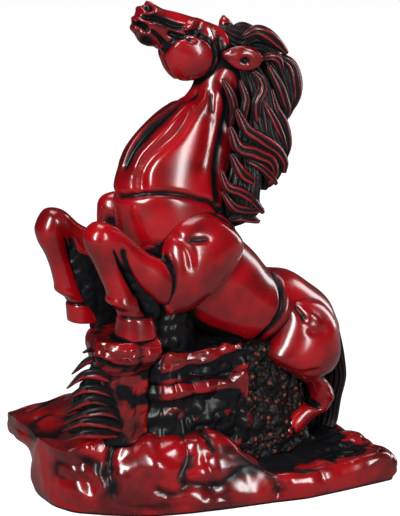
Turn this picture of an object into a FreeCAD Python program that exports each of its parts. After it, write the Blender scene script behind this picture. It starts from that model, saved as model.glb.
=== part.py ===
import FreeCAD, Part
import math
import os
import Sketcher
from FreeCAD import Placement, Rotation, Vector

# A rearing horse on rocky ground, cast in red resin in sections that meet along the dark
# creases and are glued over steel dowels. The horse faces -X, its left side is -Y and +Z is up.
# The origin is in the middle of the underside. All sizes are in millimetres.

doc = FreeCAD.newDocument("rearing_horse")
sheet = doc.addObject("Spreadsheet::Sheet", "sizes")

SIZES = [
    ("base_length", 138, "ground, left lip to right tip"),
    ("base_depth", 86, "ground, near rim to far rim"),
    ("slab_thickness", 10.8, "flat part of the ground, without the felt"),
    ("hill_height", 19, "left part of the ground, above the slab"),
    ("felt_thickness", 1.2, "felt under the ground"),
    ("felt_inset", 2.5, "felt edge behind the ground's edge"),
    ("rock_length", 54, "rock under the chest, along the base"),
    ("rock_depth", 42, "rock under the chest, across the base"),
    ("rock_height", 50, "rock under the chest, above the slab"),
    ("mound_length", 42, "gravel mound, along the base"),
    ("mound_depth", 42, "gravel mound, across the base"),
    ("mound_height", 47, "gravel mound, above the slab"),
    ("ledge_length", 31, "ledge under the left fore hoof, along the base"),
    ("ledge_depth", 33, "ledge under the left fore hoof, across the base"),
    ("hoof_print", 1.5, "how deep the left fore hoof stands in the ledge"),
    ("leaf_length", 30, "clump of leaves, along the base"),
    ("leaf_depth", 30, "clump of leaves, across the base"),
    ("leaf_height", 54, "clump of leaves, above the slab"),
    ("hind_foot_x", 22, "middle of the hind hooves, along the base"),
    ("hind_foot_spread", 30, "between the middles of the hind hooves"),
    ("hind_leg_reach", 40, "hind leg, toe to point of hock"),
    ("hind_leg_height", 70, "hind leg, sole to top of haunch"),
    ("hind_leg_width", 22, "hind leg, across the haunch"),
    ("torso_length", 100, "torso, chest to buttock"),
    ("torso_height", 80, "torso, stifle level to withers"),
    ("torso_width", 36, "torso, across the barrel"),
    ("foreleg_spread", 32, "between the middles of the forelegs"),
    ("left_foreleg_length", 40, "left forearm, elbow to knee"),
    ("right_foreleg_length", 40, "right forearm, elbow to knee"),
    ("neck_depth", 50, "neck, front to back"),
    ("neck_height", 80, "neck, torso to throat"),
    ("neck_width", 33, "neck, across its base"),
    ("head_length", 40, "head, nose to poll"),
    ("head_depth", 25, "head, brow to jaw"),
    ("head_width", 17, "head, across the cheeks"),
    ("ear_length", 20, "left ear, root to tip"),
    ("right_ear_length", 20, "right ear, root to tip"),
    ("forelock_length", 20, "hair between the ears"),
    ("crest_length", 40, "mane, lock that falls behind the poll"),
    ("mane_length", 60, "mane, long locks down the back of the neck"),
    ("mane_end_length", 40, "mane, last locks over the withers"),
    ("tail_depth", 10, "tail, front to back"),
    ("tail_width", 19, "tail, across its foot"),
    ("dowel_radius", 2, "neck and rock dowels"),
    ("leg_pin_radius", 1.2, "pins in the legs"),
    ("dowel_clearance", 0.05, "round each dowel and at its ends"),
    ("neck_dowel_length", 34, "half in the torso and half in the neck"),
    ("rock_dowel_length", 26, "half in the ground and half in the rock"),
    ("foreleg_pin_length", 20, "half in the shoulder and half in the forearm"),
    ("hip_pin_length", 12, "half in the torso and half in the haunch"),
    ("hoof_pin_length", 22, "from the ground up through the hoof"),
]
for row, (alias, millimetres, meaning) in enumerate(SIZES, start=1):
    sheet.set(f"A{row}", meaning)
    sheet.set(f"B{row}", str(millimetres))
    sheet.setAlias(f"B{row}", alias)
doc.recompute()


def number(expression):
    """The value that an expression of the sheet's cells has now."""
    return float(sheet.evalExpression(expression))


def shifted(point, along, across, up):
    """A point as three expressions, moved by three more."""
    return tuple(f"{start} + {step}" for start, step in zip(point, (along, across, up)))


def put(thing, point):
    """Bind an object's place to a point made of three expressions."""
    for axis, expression in zip("xyz", point):
        thing.setExpression(f"Placement.Base.{axis}", expression)


# Places that carry the next piece: each is worked out from the sizes of the piece below it.
ground_top = "(sizes.felt_thickness + sizes.slab_thickness)"
hind_foot = ("sizes.hind_foot_x", "0", ground_top)
HIP_SHARES = (0.45, 0.77)
hip_height = f"{HIP_SHARES[1]} * sizes.hind_leg_height"
hip = shifted(hind_foot, f"{HIP_SHARES[0]} * sizes.hind_leg_reach", "0", hip_height)
WITHERS_SHARES = (-0.55, 0.375)
withers = shifted(hip, f"{WITHERS_SHARES[0]} * sizes.torso_length", "0",
                  f"{WITHERS_SHARES[1]} * sizes.torso_height")
ELBOW_SHARES = (-0.62, 0.25)
elbow = shifted(hip, f"{ELBOW_SHARES[0]} * sizes.torso_length", "0",
                f"{ELBOW_SHARES[1]} * sizes.torso_height")
POLL_SHARES = (0.36, 1.025)
poll = shifted(withers, f"{POLL_SHARES[0]} * sizes.neck_depth", "0",
               f"{POLL_SHARES[1]} * sizes.neck_height")
SOLE_SHARE = -0.4
left_sole = shifted(elbow, "0", "0", f"{SOLE_SHARE} * sizes.left_foreleg_length")

# Rounded forms of the horse. Each row of shares is one ring across the form: the place of
# its front edge (along, up), of its back edge (along, up), its middle's place across and its
# half width. Along, up and across are shares of the form's own length, height and width.
# The rings start half a step off the form's middle plane, away from the dowels' seams.
RING_POINTS = 8
SEAM_SHARE = 0.5

TORSO_SHARES = [
    (-0.73, 0.475, -0.69, 0.575, 0, 0.17),
    (-0.73, 0.35, -0.63, 0.66, 0, 0.32),
    (-0.63, 0.16, -0.47, 0.63, 0, 0.42),
    (-0.53, 0.05, -0.32, 0.50, 0, 0.48),
    (-0.41, -0.045, -0.20, 0.37, 0, 0.50),
    (-0.28, -0.11, -0.11, 0.26, 0, 0.50),
    (-0.16, -0.15, -0.01, 0.20, 0, 0.46),
    (-0.06, -0.205, 0.08, 0.14, 0, 0.44),
    (0.04, -0.25, 0.16, 0.05, 0, 0.41),
    (0.12, -0.26, 0.205, -0.045, 0, 0.32),
    (0.18, -0.24, 0.23, -0.11, 0, 0.18),
    (0.21, -0.20, 0.235, -0.16, 0, 0.07),
]
SHOULDER_SHARES = [
    (-0.43, 0.60, -0.33, 0.51, 0.33, 0.10),
    (-0.49, 0.625, -0.30, 0.425, 0.36, 0.21),
    (-0.59, 0.59, -0.35, 0.31, 0.40, 0.26),
    (-0.66, 0.475, -0.44, 0.225, 0.43, 0.26),
    (-0.69, 0.35, -0.55, 0.15, 0.44, 0.21),
    (-0.68, 0.24, -0.62, 0.145, 0.44, 0.11),
]
NECK_SHARES = [
    (-0.36, 0.01, 0.44, 0.05, 0, 0.45),
    (-0.44, 0.15, 0.47, 0.15, 0, 0.50),
    (-0.47, 0.30, 0.50, 0.25, 0, 0.48),
    (-0.45, 0.44, 0.54, 0.375, 0, 0.43),
    (-0.36, 0.57, 0.60, 0.50, 0, 0.39),
    (-0.20, 0.675, 0.65, 0.61, 0, 0.34),
    (0.02, 0.76, 0.67, 0.725, 0, 0.30),
    (0.18, 0.81, 0.64, 0.84, 0, 0.26),
    (0.24, 0.875, 0.61, 0.93, 0, 0.23),
    (0.32, 0.95, 0.56, 1.00, 0, 0.15),
]
HEAD_SHARES = [
    (-0.76, 0.30, -0.79, 0.50, 0, 0.18),
    (-0.74, 0.16, -0.75, 0.64, 0, 0.28),
    (-0.675, 0.10, -0.645, 0.70, 0, 0.32),
    (-0.56, 0.06, -0.51, 0.62, 0, 0.29),
    (-0.49, -0.08, -0.39, 0.57, 0, 0.33),
    (-0.425, -0.30, -0.26, 0.51, 0, 0.41),
    (-0.31, -0.46, -0.125, 0.43, 0, 0.49),
    (-0.15, -0.49, 0.01, 0.36, 0, 0.50),
    (0.01, -0.40, 0.14, 0.26, 0, 0.43),
    (0.15, -0.24, 0.20, 0.10, 0, 0.24),
]
LEFT_EAR_SHARES = [
    (-0.10, -0.25, -0.05, -0.05, 0.25, 0.10),
    (0.05, -0.325, 0.10, -0.075, 0.40, 0.125),
    (0.25, -0.425, 0.40, 0, 0.50, 0.175),
    (0.55, -0.45, 0.70, -0.05, 0.55, 0.15),
    (0.85, -0.30, 0.90, -0.20, 0.575, 0.05),
]
RIGHT_EAR_SHARES = [
    (-0.05, -0.16, 0.25, -0.10, 0.12, 0.11),
    (0.15, 0.04, 0.52, 0.08, 0.27, 0.14),
    (0.33, 0.24, 0.66, 0.26, 0.36, 0.12),
    (0.465, 0.44, 0.54, 0.44, 0.40, 0.04),
]
FORELOCK_SHARES = [
    (0.15, 0.10, 0.30, 0.40, 0, 0.20),
    (0.35, -0.10, 0.55, 0.425, 0, 0.30),
    (0.65, -0.20, 0.90, 0.35, -0.05, 0.30),
    (0.95, -0.15, 1.15, 0.30, -0.10, 0.15),
]
CREST_SHARES = [
    (0.30, -0.125, 0.30, 0.125, 0.025, 0.10),
    (0.475, -0.20, 0.60, 0.14, 0.05, 0.20),
    (0.60, -0.35, 0.875, -0.14, 0.075, 0.225),
    (0.65, -0.525, 1.025, -0.50, 0.10, 0.225),
    (0.675, -0.70, 0.95, -0.74, 0.10, 0.16),
    (0.75, -0.80, 0.875, -0.81, 0.10, 0.06),
]
MANE_SHARES = [
    (0.15, -0.13, 0.32, -0.12, 0.05, 0.12),
    (0.18, -0.30, 0.47, -0.28, 0.07, 0.17),
    (0.17, -0.50, 0.52, -0.48, 0.08, 0.19),
    (0.13, -0.68, 0.60, -0.67, 0.10, 0.20),
    (0.18, -0.83, 0.60, -0.85, 0.10, 0.17),
    (0.32, -0.97, 0.54, -0.975, 0.10, 0.10),
    (0.42, -1.01, 0.48, -1.01, 0.10, 0.03),
]
MANE_END_SHARES = [
    (0.625, 1.05, 0.875, 1.05, 0.125, 0.20),
    (0.575, 0.85, 0.975, 0.825, 0.15, 0.275),
    (0.525, 0.625, 1.0, 0.575, 0.15, 0.30),
    (0.54, 0.425, 1.06, 0.35, 0.15, 0.25),
    (0.575, 0.275, 0.90, 0.225, 0.125, 0.15),
    (0.60, 0.20, 0.725, 0.19, 0.10, 0.075),
]
TAIL_SHARES = [
    (-0.20, 0.96, 0.10, 0.87, 0, 0.16),
    (0.15, 0.85, 0.70, 0.83, 0.10, 0.26),
    (0.175, 0.70, 0.95, 0.72, 0.21, 0.34),
    (0.20, 0.555, 1.02, 0.555, 0.26, 0.39),
    (0.20, 0.39, 1.02, 0.37, 0.32, 0.45),
    (0.175, 0.22, 1.00, 0.20, 0.32, 0.47),
    (0, 0.09, 0.88, 0.08, 0.32, 0.50),
    (-0.10, 0, 0.75, 0, 0.32, 0.50),
]
LEFT_FOREARM_SHARES = [
    (-0.05, -0.15, 0.10, 0.075, 0.03, 0.11),
    (-0.175, -0.10, 0.05, 0.19, 0.01, 0.15),
    (-0.31, 0.025, -0.10, 0.325, 0, 0.15),
    (-0.475, 0.20, -0.29, 0.44, 0, 0.13),
    (-0.61, 0.35, -0.445, 0.59, 0, 0.13),
    (-0.74, 0.46, -0.60, 0.70, 0, 0.13),
    (-0.82, 0.58, -0.76, 0.70, 0, 0.07),
]
LEFT_CANNON_SHARES = [
    (-0.68, 0.77, -0.78, 0.79, 0, 0.06),
    (-0.60, 0.68, -0.885, 0.72, 0, 0.14),
    (-0.60, 0.56, -0.915, 0.61, 0, 0.15),
    (-0.60, 0.43, -0.87, 0.48, 0, 0.13),
    (-0.55, 0.27, -0.79, 0.31, 0, 0.12),
    (-0.49, 0.13, -0.735, 0.17, 0, 0.12),
    (-0.42, 0, -0.70, 0.04, 0, 0.14),
    (-0.34, -0.13, -0.62, -0.10, 0, 0.14),
    (-0.27, -0.25, -0.59, -0.24, 0, 0.16),
    (-0.22, -0.40, -0.61, -0.40, 0, 0.175),
]
RIGHT_FOREARM_SHARES = [
    (-0.20, -0.125, -0.05, 0.10, 0.03, 0.11),
    (-0.34, -0.05, -0.125, 0.25, 0.01, 0.14),
    (-0.50, 0.09, -0.30, 0.39, 0, 0.15),
    (-0.66, 0.24, -0.475, 0.49, 0, 0.13),
    (-0.79, 0.34, -0.64, 0.59, 0, 0.13),
    (-0.93, 0.42, -0.80, 0.65, 0, 0.13),
    (-1.0, 0.52, -0.94, 0.64, 0, 0.07),
]
RIGHT_CANNON_SHARES = [
    (-0.84, 0.70, -0.95, 0.72, 0, 0.06),
    (-0.76, 0.61, -1.055, 0.65, 0, 0.14),
    (-0.76, 0.49, -1.075, 0.53, 0, 0.15),
    (-0.76, 0.35, -1.03, 0.40, 0, 0.13),
    (-0.72, 0.20, -0.97, 0.24, 0, 0.12),
    (-0.67, 0.05, -0.92, 0.09, 0, 0.12),
    (-0.60, -0.08, -0.89, -0.04, 0, 0.14),
    (-0.52, -0.20, -0.81, -0.17, 0, 0.13),
    (-0.46, -0.31, -0.775, -0.30, 0, 0.15),
    (-0.42, -0.43, -0.76, -0.42, 0, 0.165),
]
HAUNCH_SHARES = [
    (0.35, 0.84, 0.50, 0.84, -0.50, 0.13),
    (0.22, 0.82, 0.70, 0.80, -0.28, 0.34),
    (0.16, 0.75, 0.86, 0.69, -0.15, 0.46),
    (0.06, 0.67, 0.86, 0.56, -0.05, 0.48),
    (0.02, 0.57, 0.76, 0.48, 0, 0.42),
    (0.16, 0.48, 0.66, 0.43, 0, 0.36),
    (0.33, 0.41, 0.63, 0.39, 0, 0.28),
    (0.46, 0.34, 0.71, 0.34, 0, 0.23),
    (0.53, 0.25, 0.76, 0.27, 0, 0.22),
    (0.57, 0.20, 0.70, 0.21, 0, 0.12),
]
HIND_CANNON_SHARES = [
    (0.62, 0.36, 0.76, 0.27, 0, 0.16),
    (0.51, 0.29, 0.64, 0.19, 0, 0.18),
    (0.38, 0.24, 0.51, 0.14, 0, 0.17),
    (0.26, 0.19, 0.39, 0.09, 0, 0.19),
    (0.14, 0.15, 0.27, 0.05, 0, 0.19),
    (0.01, 0.11, 0.21, 0, 0, 0.22),
    (-0.12, 0.04, 0.14, -0.05, 0, 0.25),
]


def ring(row, along, up, across, side):
    """A closed smooth curve: middle + chord/2 cos a + width/2 sin a, through even angles a."""
    front = Vector(row[0] * along, 0, row[1] * up)
    back = Vector(row[2] * along, 0, row[3] * up)
    middle = (front + back) / 2 + Vector(0, side * row[4] * across, 0)
    half_chord = (back - front) / 2
    half_width = Vector(0, row[5] * across, 0)
    angles = [2 * math.pi * (step + SEAM_SHARE) / RING_POINTS for step in range(RING_POINTS)]
    points = [middle + half_chord * math.cos(a) + half_width * math.sin(a) for a in angles]
    curve = Part.BSplineCurve()
    curve.interpolate(points, PeriodicFlag=True)
    return Part.Wire([curve.toShape()])


def form(name, shares, lengths, point, side=-1):
    """A rounded form lofted through its rings; lengths are its length, height and width."""
    along, up, across = (number(length) for length in lengths)
    thing = doc.addObject("Part::Feature", name)
    thing.Shape = Part.makeLoft([ring(row, along, up, across, side) for row in shares], True, False)
    thing.Placement = Placement()
    put(thing, point)
    return thing


def leg(name, tables, lengths, point, side):
    """A bent leg: its upper and lower forms, joined at the knee or hock."""
    halves = [form(f"{name}_{half}", shares, lengths, point, side)
              for half, shares in zip(("upper", "lower"), tables)]
    whole = doc.addObject("Part::MultiFuse", name)
    whole.Shapes = halves
    return whole


def cut(name, base, tools):
    """What is left of a form where the pieces that carry it have taken their room."""
    for count, tool in enumerate(tools, start=1):
        step = doc.addObject("Part::Cut", f"{name}_cut_{count}")
        step.Base = base
        step.Tool = tool
        step.Refine = False
        base = step
    base.Label = name
    return base


def turned(tilt):
    """A dowel's turn: tilt is its angle about Y from upright, or None for one along Y."""
    if tilt is None:
        return Rotation(Vector(0, 0, 1), Vector(0, -1, 0))
    return Rotation(Vector(0, 1, 0), tilt)


def cylinder(name, radius, length, point, tilt):
    """A dowel or its hole, from the middle of its lower end."""
    rod = doc.addObject("Part::Cylinder", name)
    rod.setExpression("Radius", radius)
    rod.setExpression("Height", length)
    rod.Placement = Placement(Vector(0, 0, 0), turned(tilt))
    put(rod, point)
    return rod


def dowels(name, radius, length, middles, tilt):
    """Equal dowels centred on their middles, and the holes that take them with clearance."""
    axis = turned(tilt).multVec(Vector(0, 0, 1))
    pair = [[], []]
    for count, middle in enumerate(middles, start=1):
        for kind, extra in enumerate(("0", "sizes.dowel_clearance")):
            half = f"({length} / 2 + {extra})"
            start = shifted(middle, *(f"{-part} * {half}" for part in axis))
            kept = ("dowel", "hole")[kind]
            pair[kind].append(cylinder(f"{name}_{kept}_{count}", f"{radius} + {extra}",
                                       f"2 * {half}", start, tilt))
    group = doc.addObject("Part::Compound", name)
    group.Links = pair[0]
    group.Label = name
    return group, pair[1]


# Rocky pieces: bodies lofted between straight-sided outlines. Each point of an outline is a
# pair of shares (along, across) of half the piece's length and half its depth.
GROUND_SHARES = [
    (0.98, -1.0), (0.64, -0.93), (0.33, -0.85), (-0.06, -0.72), (-0.30, -0.67), (-0.52, -0.58),
    (-0.80, -0.28), (-0.96, 0.12), (-1.0, 0.58), (-0.87, 0.98), (-0.51, 1.0), (0, 1.0),
    (0.51, 1.0), (0.85, 0.80), (0.94, 0.24), (1.0, -0.45),
]
HILL_FOOT_SHARES = [
    (-0.05, -0.66), (-0.30, -0.61), (-0.50, -0.52), (-0.77, -0.22), (-0.92, 0.15), (-0.95, 0.57),
    (-0.84, 0.92), (-0.50, 0.93), (-0.10, 0.93), (0.20, 0.80), (0.30, 0.30), (0.20, -0.40),
]
HILL_MIDDLE_SHARES = [
    (-0.12, -0.55), (-0.32, -0.54), (-0.50, -0.44), (-0.74, -0.14), (-0.86, 0.20), (-0.86, 0.60),
    (-0.75, 0.85), (-0.50, 0.85), (-0.15, 0.80), (0.05, 0.60), (0.10, 0.20), (0.05, -0.30),
]
HILL_TOP_SHARES = [
    (-0.20, -0.42), (-0.34, -0.44), (-0.50, -0.36), (-0.66, -0.10), (-0.74, 0.20), (-0.68, 0.50),
    (-0.60, 0.62), (-0.45, 0.65), (-0.25, 0.60), (-0.12, 0.45), (-0.08, 0.20), (-0.12, -0.20),
]
ROCK_FOOT_SHARES = [
    (-1.0, -0.60), (-0.75, -0.95), (0.15, -1.0), (0.80, -0.92), (1.0, -0.35), (1.0, 0.65),
    (0.35, 1.0), (-0.80, 0.90),
]
ROCK_STEP_SHARES = [
    (-0.92, -0.50), (-0.68, -0.85), (0.10, -0.92), (0.74, -0.84), (0.95, -0.30), (0.94, 0.60),
    (0.30, 0.92), (-0.74, 0.82),
]
ROCK_TOP_SHARES = [
    (-0.95, -0.55), (-0.70, -0.90), (0.05, -0.96), (0.70, -0.86), (0.90, -0.30), (0.90, 0.55),
    (0.25, 0.85), (-0.70, 0.75),
]
MOUND_FOOT_SHARES = [
    (-0.95, -1.0), (0.0, -1.0), (0.85, -0.60), (1.0, 0.50), (0.30, 1.0), (-0.95, 0.95),
]
MOUND_TOP_SHARES = [
    (-0.80, -0.60), (-0.10, -0.62), (0.40, -0.42), (0.45, 0.42), (-0.10, 0.58), (-0.80, 0.58),
]
LEDGE_FOOT_SHARES = [
    (-0.50, -0.40), (0.0, -0.60), (0.62, -0.45), (0.75, 0.20), (0.30, 0.60), (-0.50, 0.50),
]
LEDGE_LIP_SHARES = [
    (-0.92, -0.55), (-0.10, -1.0), (0.85, -0.85), (1.0, 0.20), (0.40, 0.90), (-0.85, 0.65),
]
LEDGE_TOP_SHARES = [
    (-0.85, -0.50), (-0.10, -0.92), (0.78, -0.78), (0.92, 0.20), (0.40, 0.80), (-0.78, 0.60),
]
LEAF_FOOT_SHARES = [
    (-0.50, -0.35), (0, -0.90), (0.90, -0.90), (1.0, 0.30), (0.30, 1.0), (-0.60, 0.70),
]
LEAF_MIDDLE_SHARES = [
    (-1.0, -0.40), (-0.20, -1.0), (0.85, -0.85), (0.95, 0.20), (0.30, 0.80), (-0.80, 0.50),
]
LEAF_TOP_SHARES = [
    (-0.20, -0.60), (0.25, -0.95), (0.80, -0.90), (0.90, -0.10), (0.50, 0.15), (0.05, 0),
]


def outline(body, name, shares, length, depth, height):
    """A closed outline on the body's XY plane, raised, with each corner bound to the sizes."""
    sketch = body.newObject("Sketcher::SketchObject", name)
    plane = [part for part in body.Origin.OriginFeatures if part.Role == "XY_Plane"][0]
    sketch.AttachmentSupport = [(plane, "")]
    sketch.MapMode = "FlatFace"
    sketch.setExpression("AttachmentOffset.Base.z", height)
    half_length = number(length) / 2
    half_depth = number(depth) / 2
    corners = [Vector(x * half_length, y * half_depth, 0) for x, y in shares]
    for start, end in zip(corners, corners[1:] + corners[:1]):
        sketch.addGeometry(Part.LineSegment(start, end), False)
    for count, (x, y) in enumerate(shares):
        before = (count - 1) % len(shares)
        sketch.addConstraint(Sketcher.Constraint("Coincident", before, 2, count, 1))
        for kind, share, whole in (("DistanceX", x, length), ("DistanceY", y, depth)):
            place = share * number(whole) / 2
            index = sketch.addConstraint(Sketcher.Constraint(kind, -1, 1, count, 1, place))
            sketch.setExpression(f"Constraints[{index}]", f"{share} * ({whole}) / 2")
    return sketch


def add_loft(body, name, outlines):
    """Add a loft with straight sides through a body's outlines."""
    loft = body.newObject("PartDesign::AdditiveLoft", name)
    loft.Profile = outlines[0]
    loft.Sections = outlines[1:]
    loft.Ruled = True
    body.Tip = loft


def rocky(name, layers, length, depth, point):
    """A body lofted straight through outlines; layers pair each outline with its height."""
    body = doc.addObject("PartDesign::Body", name)
    add_loft(body, f"{name}_loft", [
        outline(body, f"{name}_outline_{count}", shares, length, depth, height)
        for count, (shares, height) in enumerate(layers, start=1)
    ])
    put(body, point)
    return body


# The ground: a slab with a bulging rim and a hill on its left part, and felt beneath it. A longer
# base doesn't draw the hill's foot under the hind hooves.
RIM_HEIGHT_SHARE = 0.45
RIM_INSET_SHARE = 0.12
rim_inset = f"{2 * RIM_INSET_SHARE} * sizes.slab_thickness"
inner_length = f"sizes.base_length - {rim_inset}"
inner_depth = f"sizes.base_depth - {rim_inset}"
ground_form = doc.addObject("PartDesign::Body", "ground_form")
lower_outline = outline(ground_form, "ground_underside", GROUND_SHARES, inner_length, inner_depth, "0")
rim_outline = outline(ground_form, "ground_rim", GROUND_SHARES, "sizes.base_length",
                      "sizes.base_depth", f"{RIM_HEIGHT_SHARE} * sizes.slab_thickness")
upper_outline = outline(ground_form, "ground_upper_side", GROUND_SHARES, inner_length, inner_depth,
                        "sizes.slab_thickness")
add_loft(ground_form, "slab", [lower_outline, rim_outline, upper_outline])
HILL_MIDDLE_SHARE = 0.65
HILL_SPAN_SHARE = 6.3
hill_length = f"min(sizes.base_length; {HILL_SPAN_SHARE} * {hind_foot[0]})"
hill_outlines = [
    outline(ground_form, f"hill_outline_{count}", shares, hill_length, "sizes.base_depth",
            f"sizes.slab_thickness + {share} * sizes.hill_height")
    for count, (shares, share) in enumerate(((HILL_FOOT_SHARES, 0),
                                             (HILL_MIDDLE_SHARES, HILL_MIDDLE_SHARE),
                                             (HILL_TOP_SHARES, 1)))
]
add_loft(ground_form, "hill", hill_outlines)
put(ground_form, ("0", "0", "sizes.felt_thickness"))

felt_pad = doc.addObject("PartDesign::Body", "felt_pad")
felt_outline = outline(felt_pad, "felt_outline", GROUND_SHARES,
                       f"{inner_length} - 2 * sizes.felt_inset",
                       f"{inner_depth} - 2 * sizes.felt_inset", "0")
felt_sheet = felt_pad.newObject("PartDesign::Pad", "felt_sheet")
felt_sheet.Profile = felt_outline
felt_sheet.setExpression("Length", "sizes.felt_thickness")
felt_pad.Tip = felt_sheet
put(felt_pad, ("0", "0", "0"))

# The horse's forms, from the ground upward.
HIND_LEG_SIZES = ("sizes.hind_leg_reach", "sizes.hind_leg_height", "sizes.hind_leg_width")
TORSO_SIZES = ("sizes.torso_length", "sizes.torso_height", "sizes.torso_width")
TAIL_PLACE_SHARE = 0.9
NECK_SIZES = ("sizes.neck_depth", "sizes.neck_height", "sizes.neck_width")
HEAD_SIZES = ("sizes.head_length", "sizes.head_depth", "sizes.head_width")
SIDES = (("left", -1), ("right", 1))
hind_leg_forms = {
    name: leg(f"{name}_hind_leg_form", (HAUNCH_SHARES, HIND_CANNON_SHARES), HIND_LEG_SIZES,
              (hind_foot[0], f"{side} * sizes.hind_foot_spread / 2", hind_foot[2]), side)
    for name, side in SIDES
}
barrel_form = form("barrel_form", TORSO_SHARES, TORSO_SIZES, hip)
shoulder_forms = [form(f"{name}_shoulder_form", SHOULDER_SHARES, TORSO_SIZES, hip, side)
                  for name, side in SIDES]
FORELEG_SHARES = {
    "left": (LEFT_FOREARM_SHARES, LEFT_CANNON_SHARES),
    "right": (RIGHT_FOREARM_SHARES, RIGHT_CANNON_SHARES),
}
foreleg_forms = {
    name: leg(f"{name}_foreleg_form", FORELEG_SHARES[name], (f"sizes.{name}_foreleg_length",) * 3,
              (elbow[0], f"{side} * sizes.foreleg_spread / 2", elbow[2]), side)
    for name, side in SIDES
}
neck_form = form("neck_form", NECK_SHARES, NECK_SIZES, withers)
head_form = form("head_form", HEAD_SHARES, HEAD_SIZES, poll)
left_ear_form = form("left_ear_form", LEFT_EAR_SHARES, ("sizes.ear_length",) * 3, poll)
right_ear_form = form("right_ear_form", RIGHT_EAR_SHARES, ("sizes.right_ear_length",) * 3, poll, 1)
forelock_form = form("forelock_form", FORELOCK_SHARES, ("sizes.forelock_length",) * 3, poll)
crest_form = form("crest_form", CREST_SHARES, ("sizes.crest_length",) * 3, poll)
mane_form = form("mane_form", MANE_SHARES, ("sizes.mane_length",) * 3, poll)
mane_end_form = form("mane_end_form", MANE_END_SHARES, ("sizes.mane_end_length",) * 3, withers)
tail_form = form("tail_form", TAIL_SHARES, ("sizes.tail_depth", hip_height, "sizes.tail_width"),
                 (f"{hind_foot[0]} + {TAIL_PLACE_SHARE} * sizes.hind_leg_reach", "0", ground_top), 1)

# The rocky pieces stand on the slab; the ledge reaches up to the left fore hoof's sole.
ROCK_PLACE_SHARE = -0.50
ROCK_STEP_SHARE = 0.72
ROCK_SLAB_SHARE = 0.79
rock_form = rocky("rock_form", [
    (ROCK_FOOT_SHARES, "0"),
    (ROCK_STEP_SHARES, f"{ROCK_STEP_SHARE} * sizes.rock_height"),
    (ROCK_TOP_SHARES, f"{ROCK_SLAB_SHARE} * sizes.rock_height"),
    (ROCK_TOP_SHARES, "sizes.rock_height"),
], "sizes.rock_length", "sizes.rock_depth",
    (f"{hip[0]} + {ROCK_PLACE_SHARE} * sizes.torso_length", "0", ground_top))

MOUND_PLACE_SHARE = -0.14
mound_form = rocky("mound_form", [(MOUND_FOOT_SHARES, "0"), (MOUND_TOP_SHARES, "sizes.mound_height")],
                   "sizes.mound_length", "sizes.mound_depth",
                   (f"{hip[0]} + {MOUND_PLACE_SHARE} * sizes.torso_length", "0", ground_top))

LEDGE_PLACE_SHARES = (-0.525, 0.22)
LEDGE_NECK_SHARE = 0.76
LEDGE_LIP_SHARE = 0.86
ledge_height = f"({left_sole[2]} + sizes.hoof_print - {ground_top})"
ledge_place = (f"{elbow[0]} + {LEDGE_PLACE_SHARES[0]} * sizes.left_foreleg_length",
               f"{LEDGE_PLACE_SHARES[1]} * sizes.ledge_depth - sizes.foreleg_spread / 2", ground_top)
ledge_form = rocky("ledge_form", [
    (LEDGE_FOOT_SHARES, "0"),
    (LEDGE_FOOT_SHARES, f"{LEDGE_NECK_SHARE} * {ledge_height}"),
    (LEDGE_LIP_SHARES, f"{LEDGE_LIP_SHARE} * {ledge_height}"),
    (LEDGE_TOP_SHARES, ledge_height),
], "sizes.ledge_length", "sizes.ledge_depth", ledge_place)

LEAF_PLACE_SHARES = (-0.28, 0.25)
LEAF_MIDDLE_SHARE = 0.55
leaf_form = rocky("leaf_form", [
    (LEAF_FOOT_SHARES, "0"),
    (LEAF_MIDDLE_SHARES, f"{LEAF_MIDDLE_SHARE} * sizes.leaf_height"),
    (LEAF_TOP_SHARES, "sizes.leaf_height"),
], "sizes.leaf_length", "sizes.leaf_depth",
    shifted(ledge_place, f"{LEAF_PLACE_SHARES[0]} * sizes.leaf_length",
            f"{LEAF_PLACE_SHARES[1]} * sizes.leaf_depth", "0"))

# Steel dowels across the glued faces, and the holes for them. A tilt is degrees from upright.
NECK_DOWEL_SHARES = (0.02, 0.27)
neck_dowel, neck_holes = dowels(
    "neck_dowel", "sizes.dowel_radius", "sizes.neck_dowel_length",
    [shifted(withers, f"{NECK_DOWEL_SHARES[0]} * sizes.neck_depth", "0",
             f"{NECK_DOWEL_SHARES[1]} * sizes.neck_height")], 0)
ROCK_DOWEL_SHARES = (-0.22, 0.22)
ROCK_DOWEL_HEIGHT_SHARE = 0.8
rock_dowels, rock_holes = dowels(
    "rock_dowels", "sizes.dowel_radius", "sizes.rock_dowel_length",
    [(f"{hip[0]} + {ROCK_PLACE_SHARE} * sizes.torso_length + {share} * sizes.rock_length", "0",
      f"{ground_top} + {ROCK_DOWEL_HEIGHT_SHARE} * sizes.hill_height") for share in ROCK_DOWEL_SHARES], 0)
FORELEG_PIN_SHARES = (-0.14, 0.10)
FORELEG_PIN_TILT = -48
foreleg_pins, foreleg_holes = dowels(
    "foreleg_pins", "sizes.leg_pin_radius", "sizes.foreleg_pin_length",
    [(f"{elbow[0]} + {FORELEG_PIN_SHARES[0]} * sizes.{name}_foreleg_length",
      f"{side} * sizes.foreleg_spread / 2",
      f"{elbow[2]} + {FORELEG_PIN_SHARES[1]} * sizes.{name}_foreleg_length")
     for name, side in SIDES], FORELEG_PIN_TILT)
HIP_PIN_SHARES = (-0.02, -0.05)
HIP_PIN_ACROSS_SHARE = 0.40
hip_pins, hip_holes = dowels(
    "hip_pins", "sizes.leg_pin_radius", "sizes.hip_pin_length",
    [(f"{hip[0]} + {HIP_PIN_SHARES[0]} * sizes.torso_length",
      f"{side * HIP_PIN_ACROSS_SHARE} * sizes.torso_width",
      f"{hip[2]} + {HIP_PIN_SHARES[1]} * sizes.torso_height") for name, side in SIDES], None)
HOOF_PIN_SHARES = (0.10, 0.06)
HOOF_PIN_TILT = 58
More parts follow.
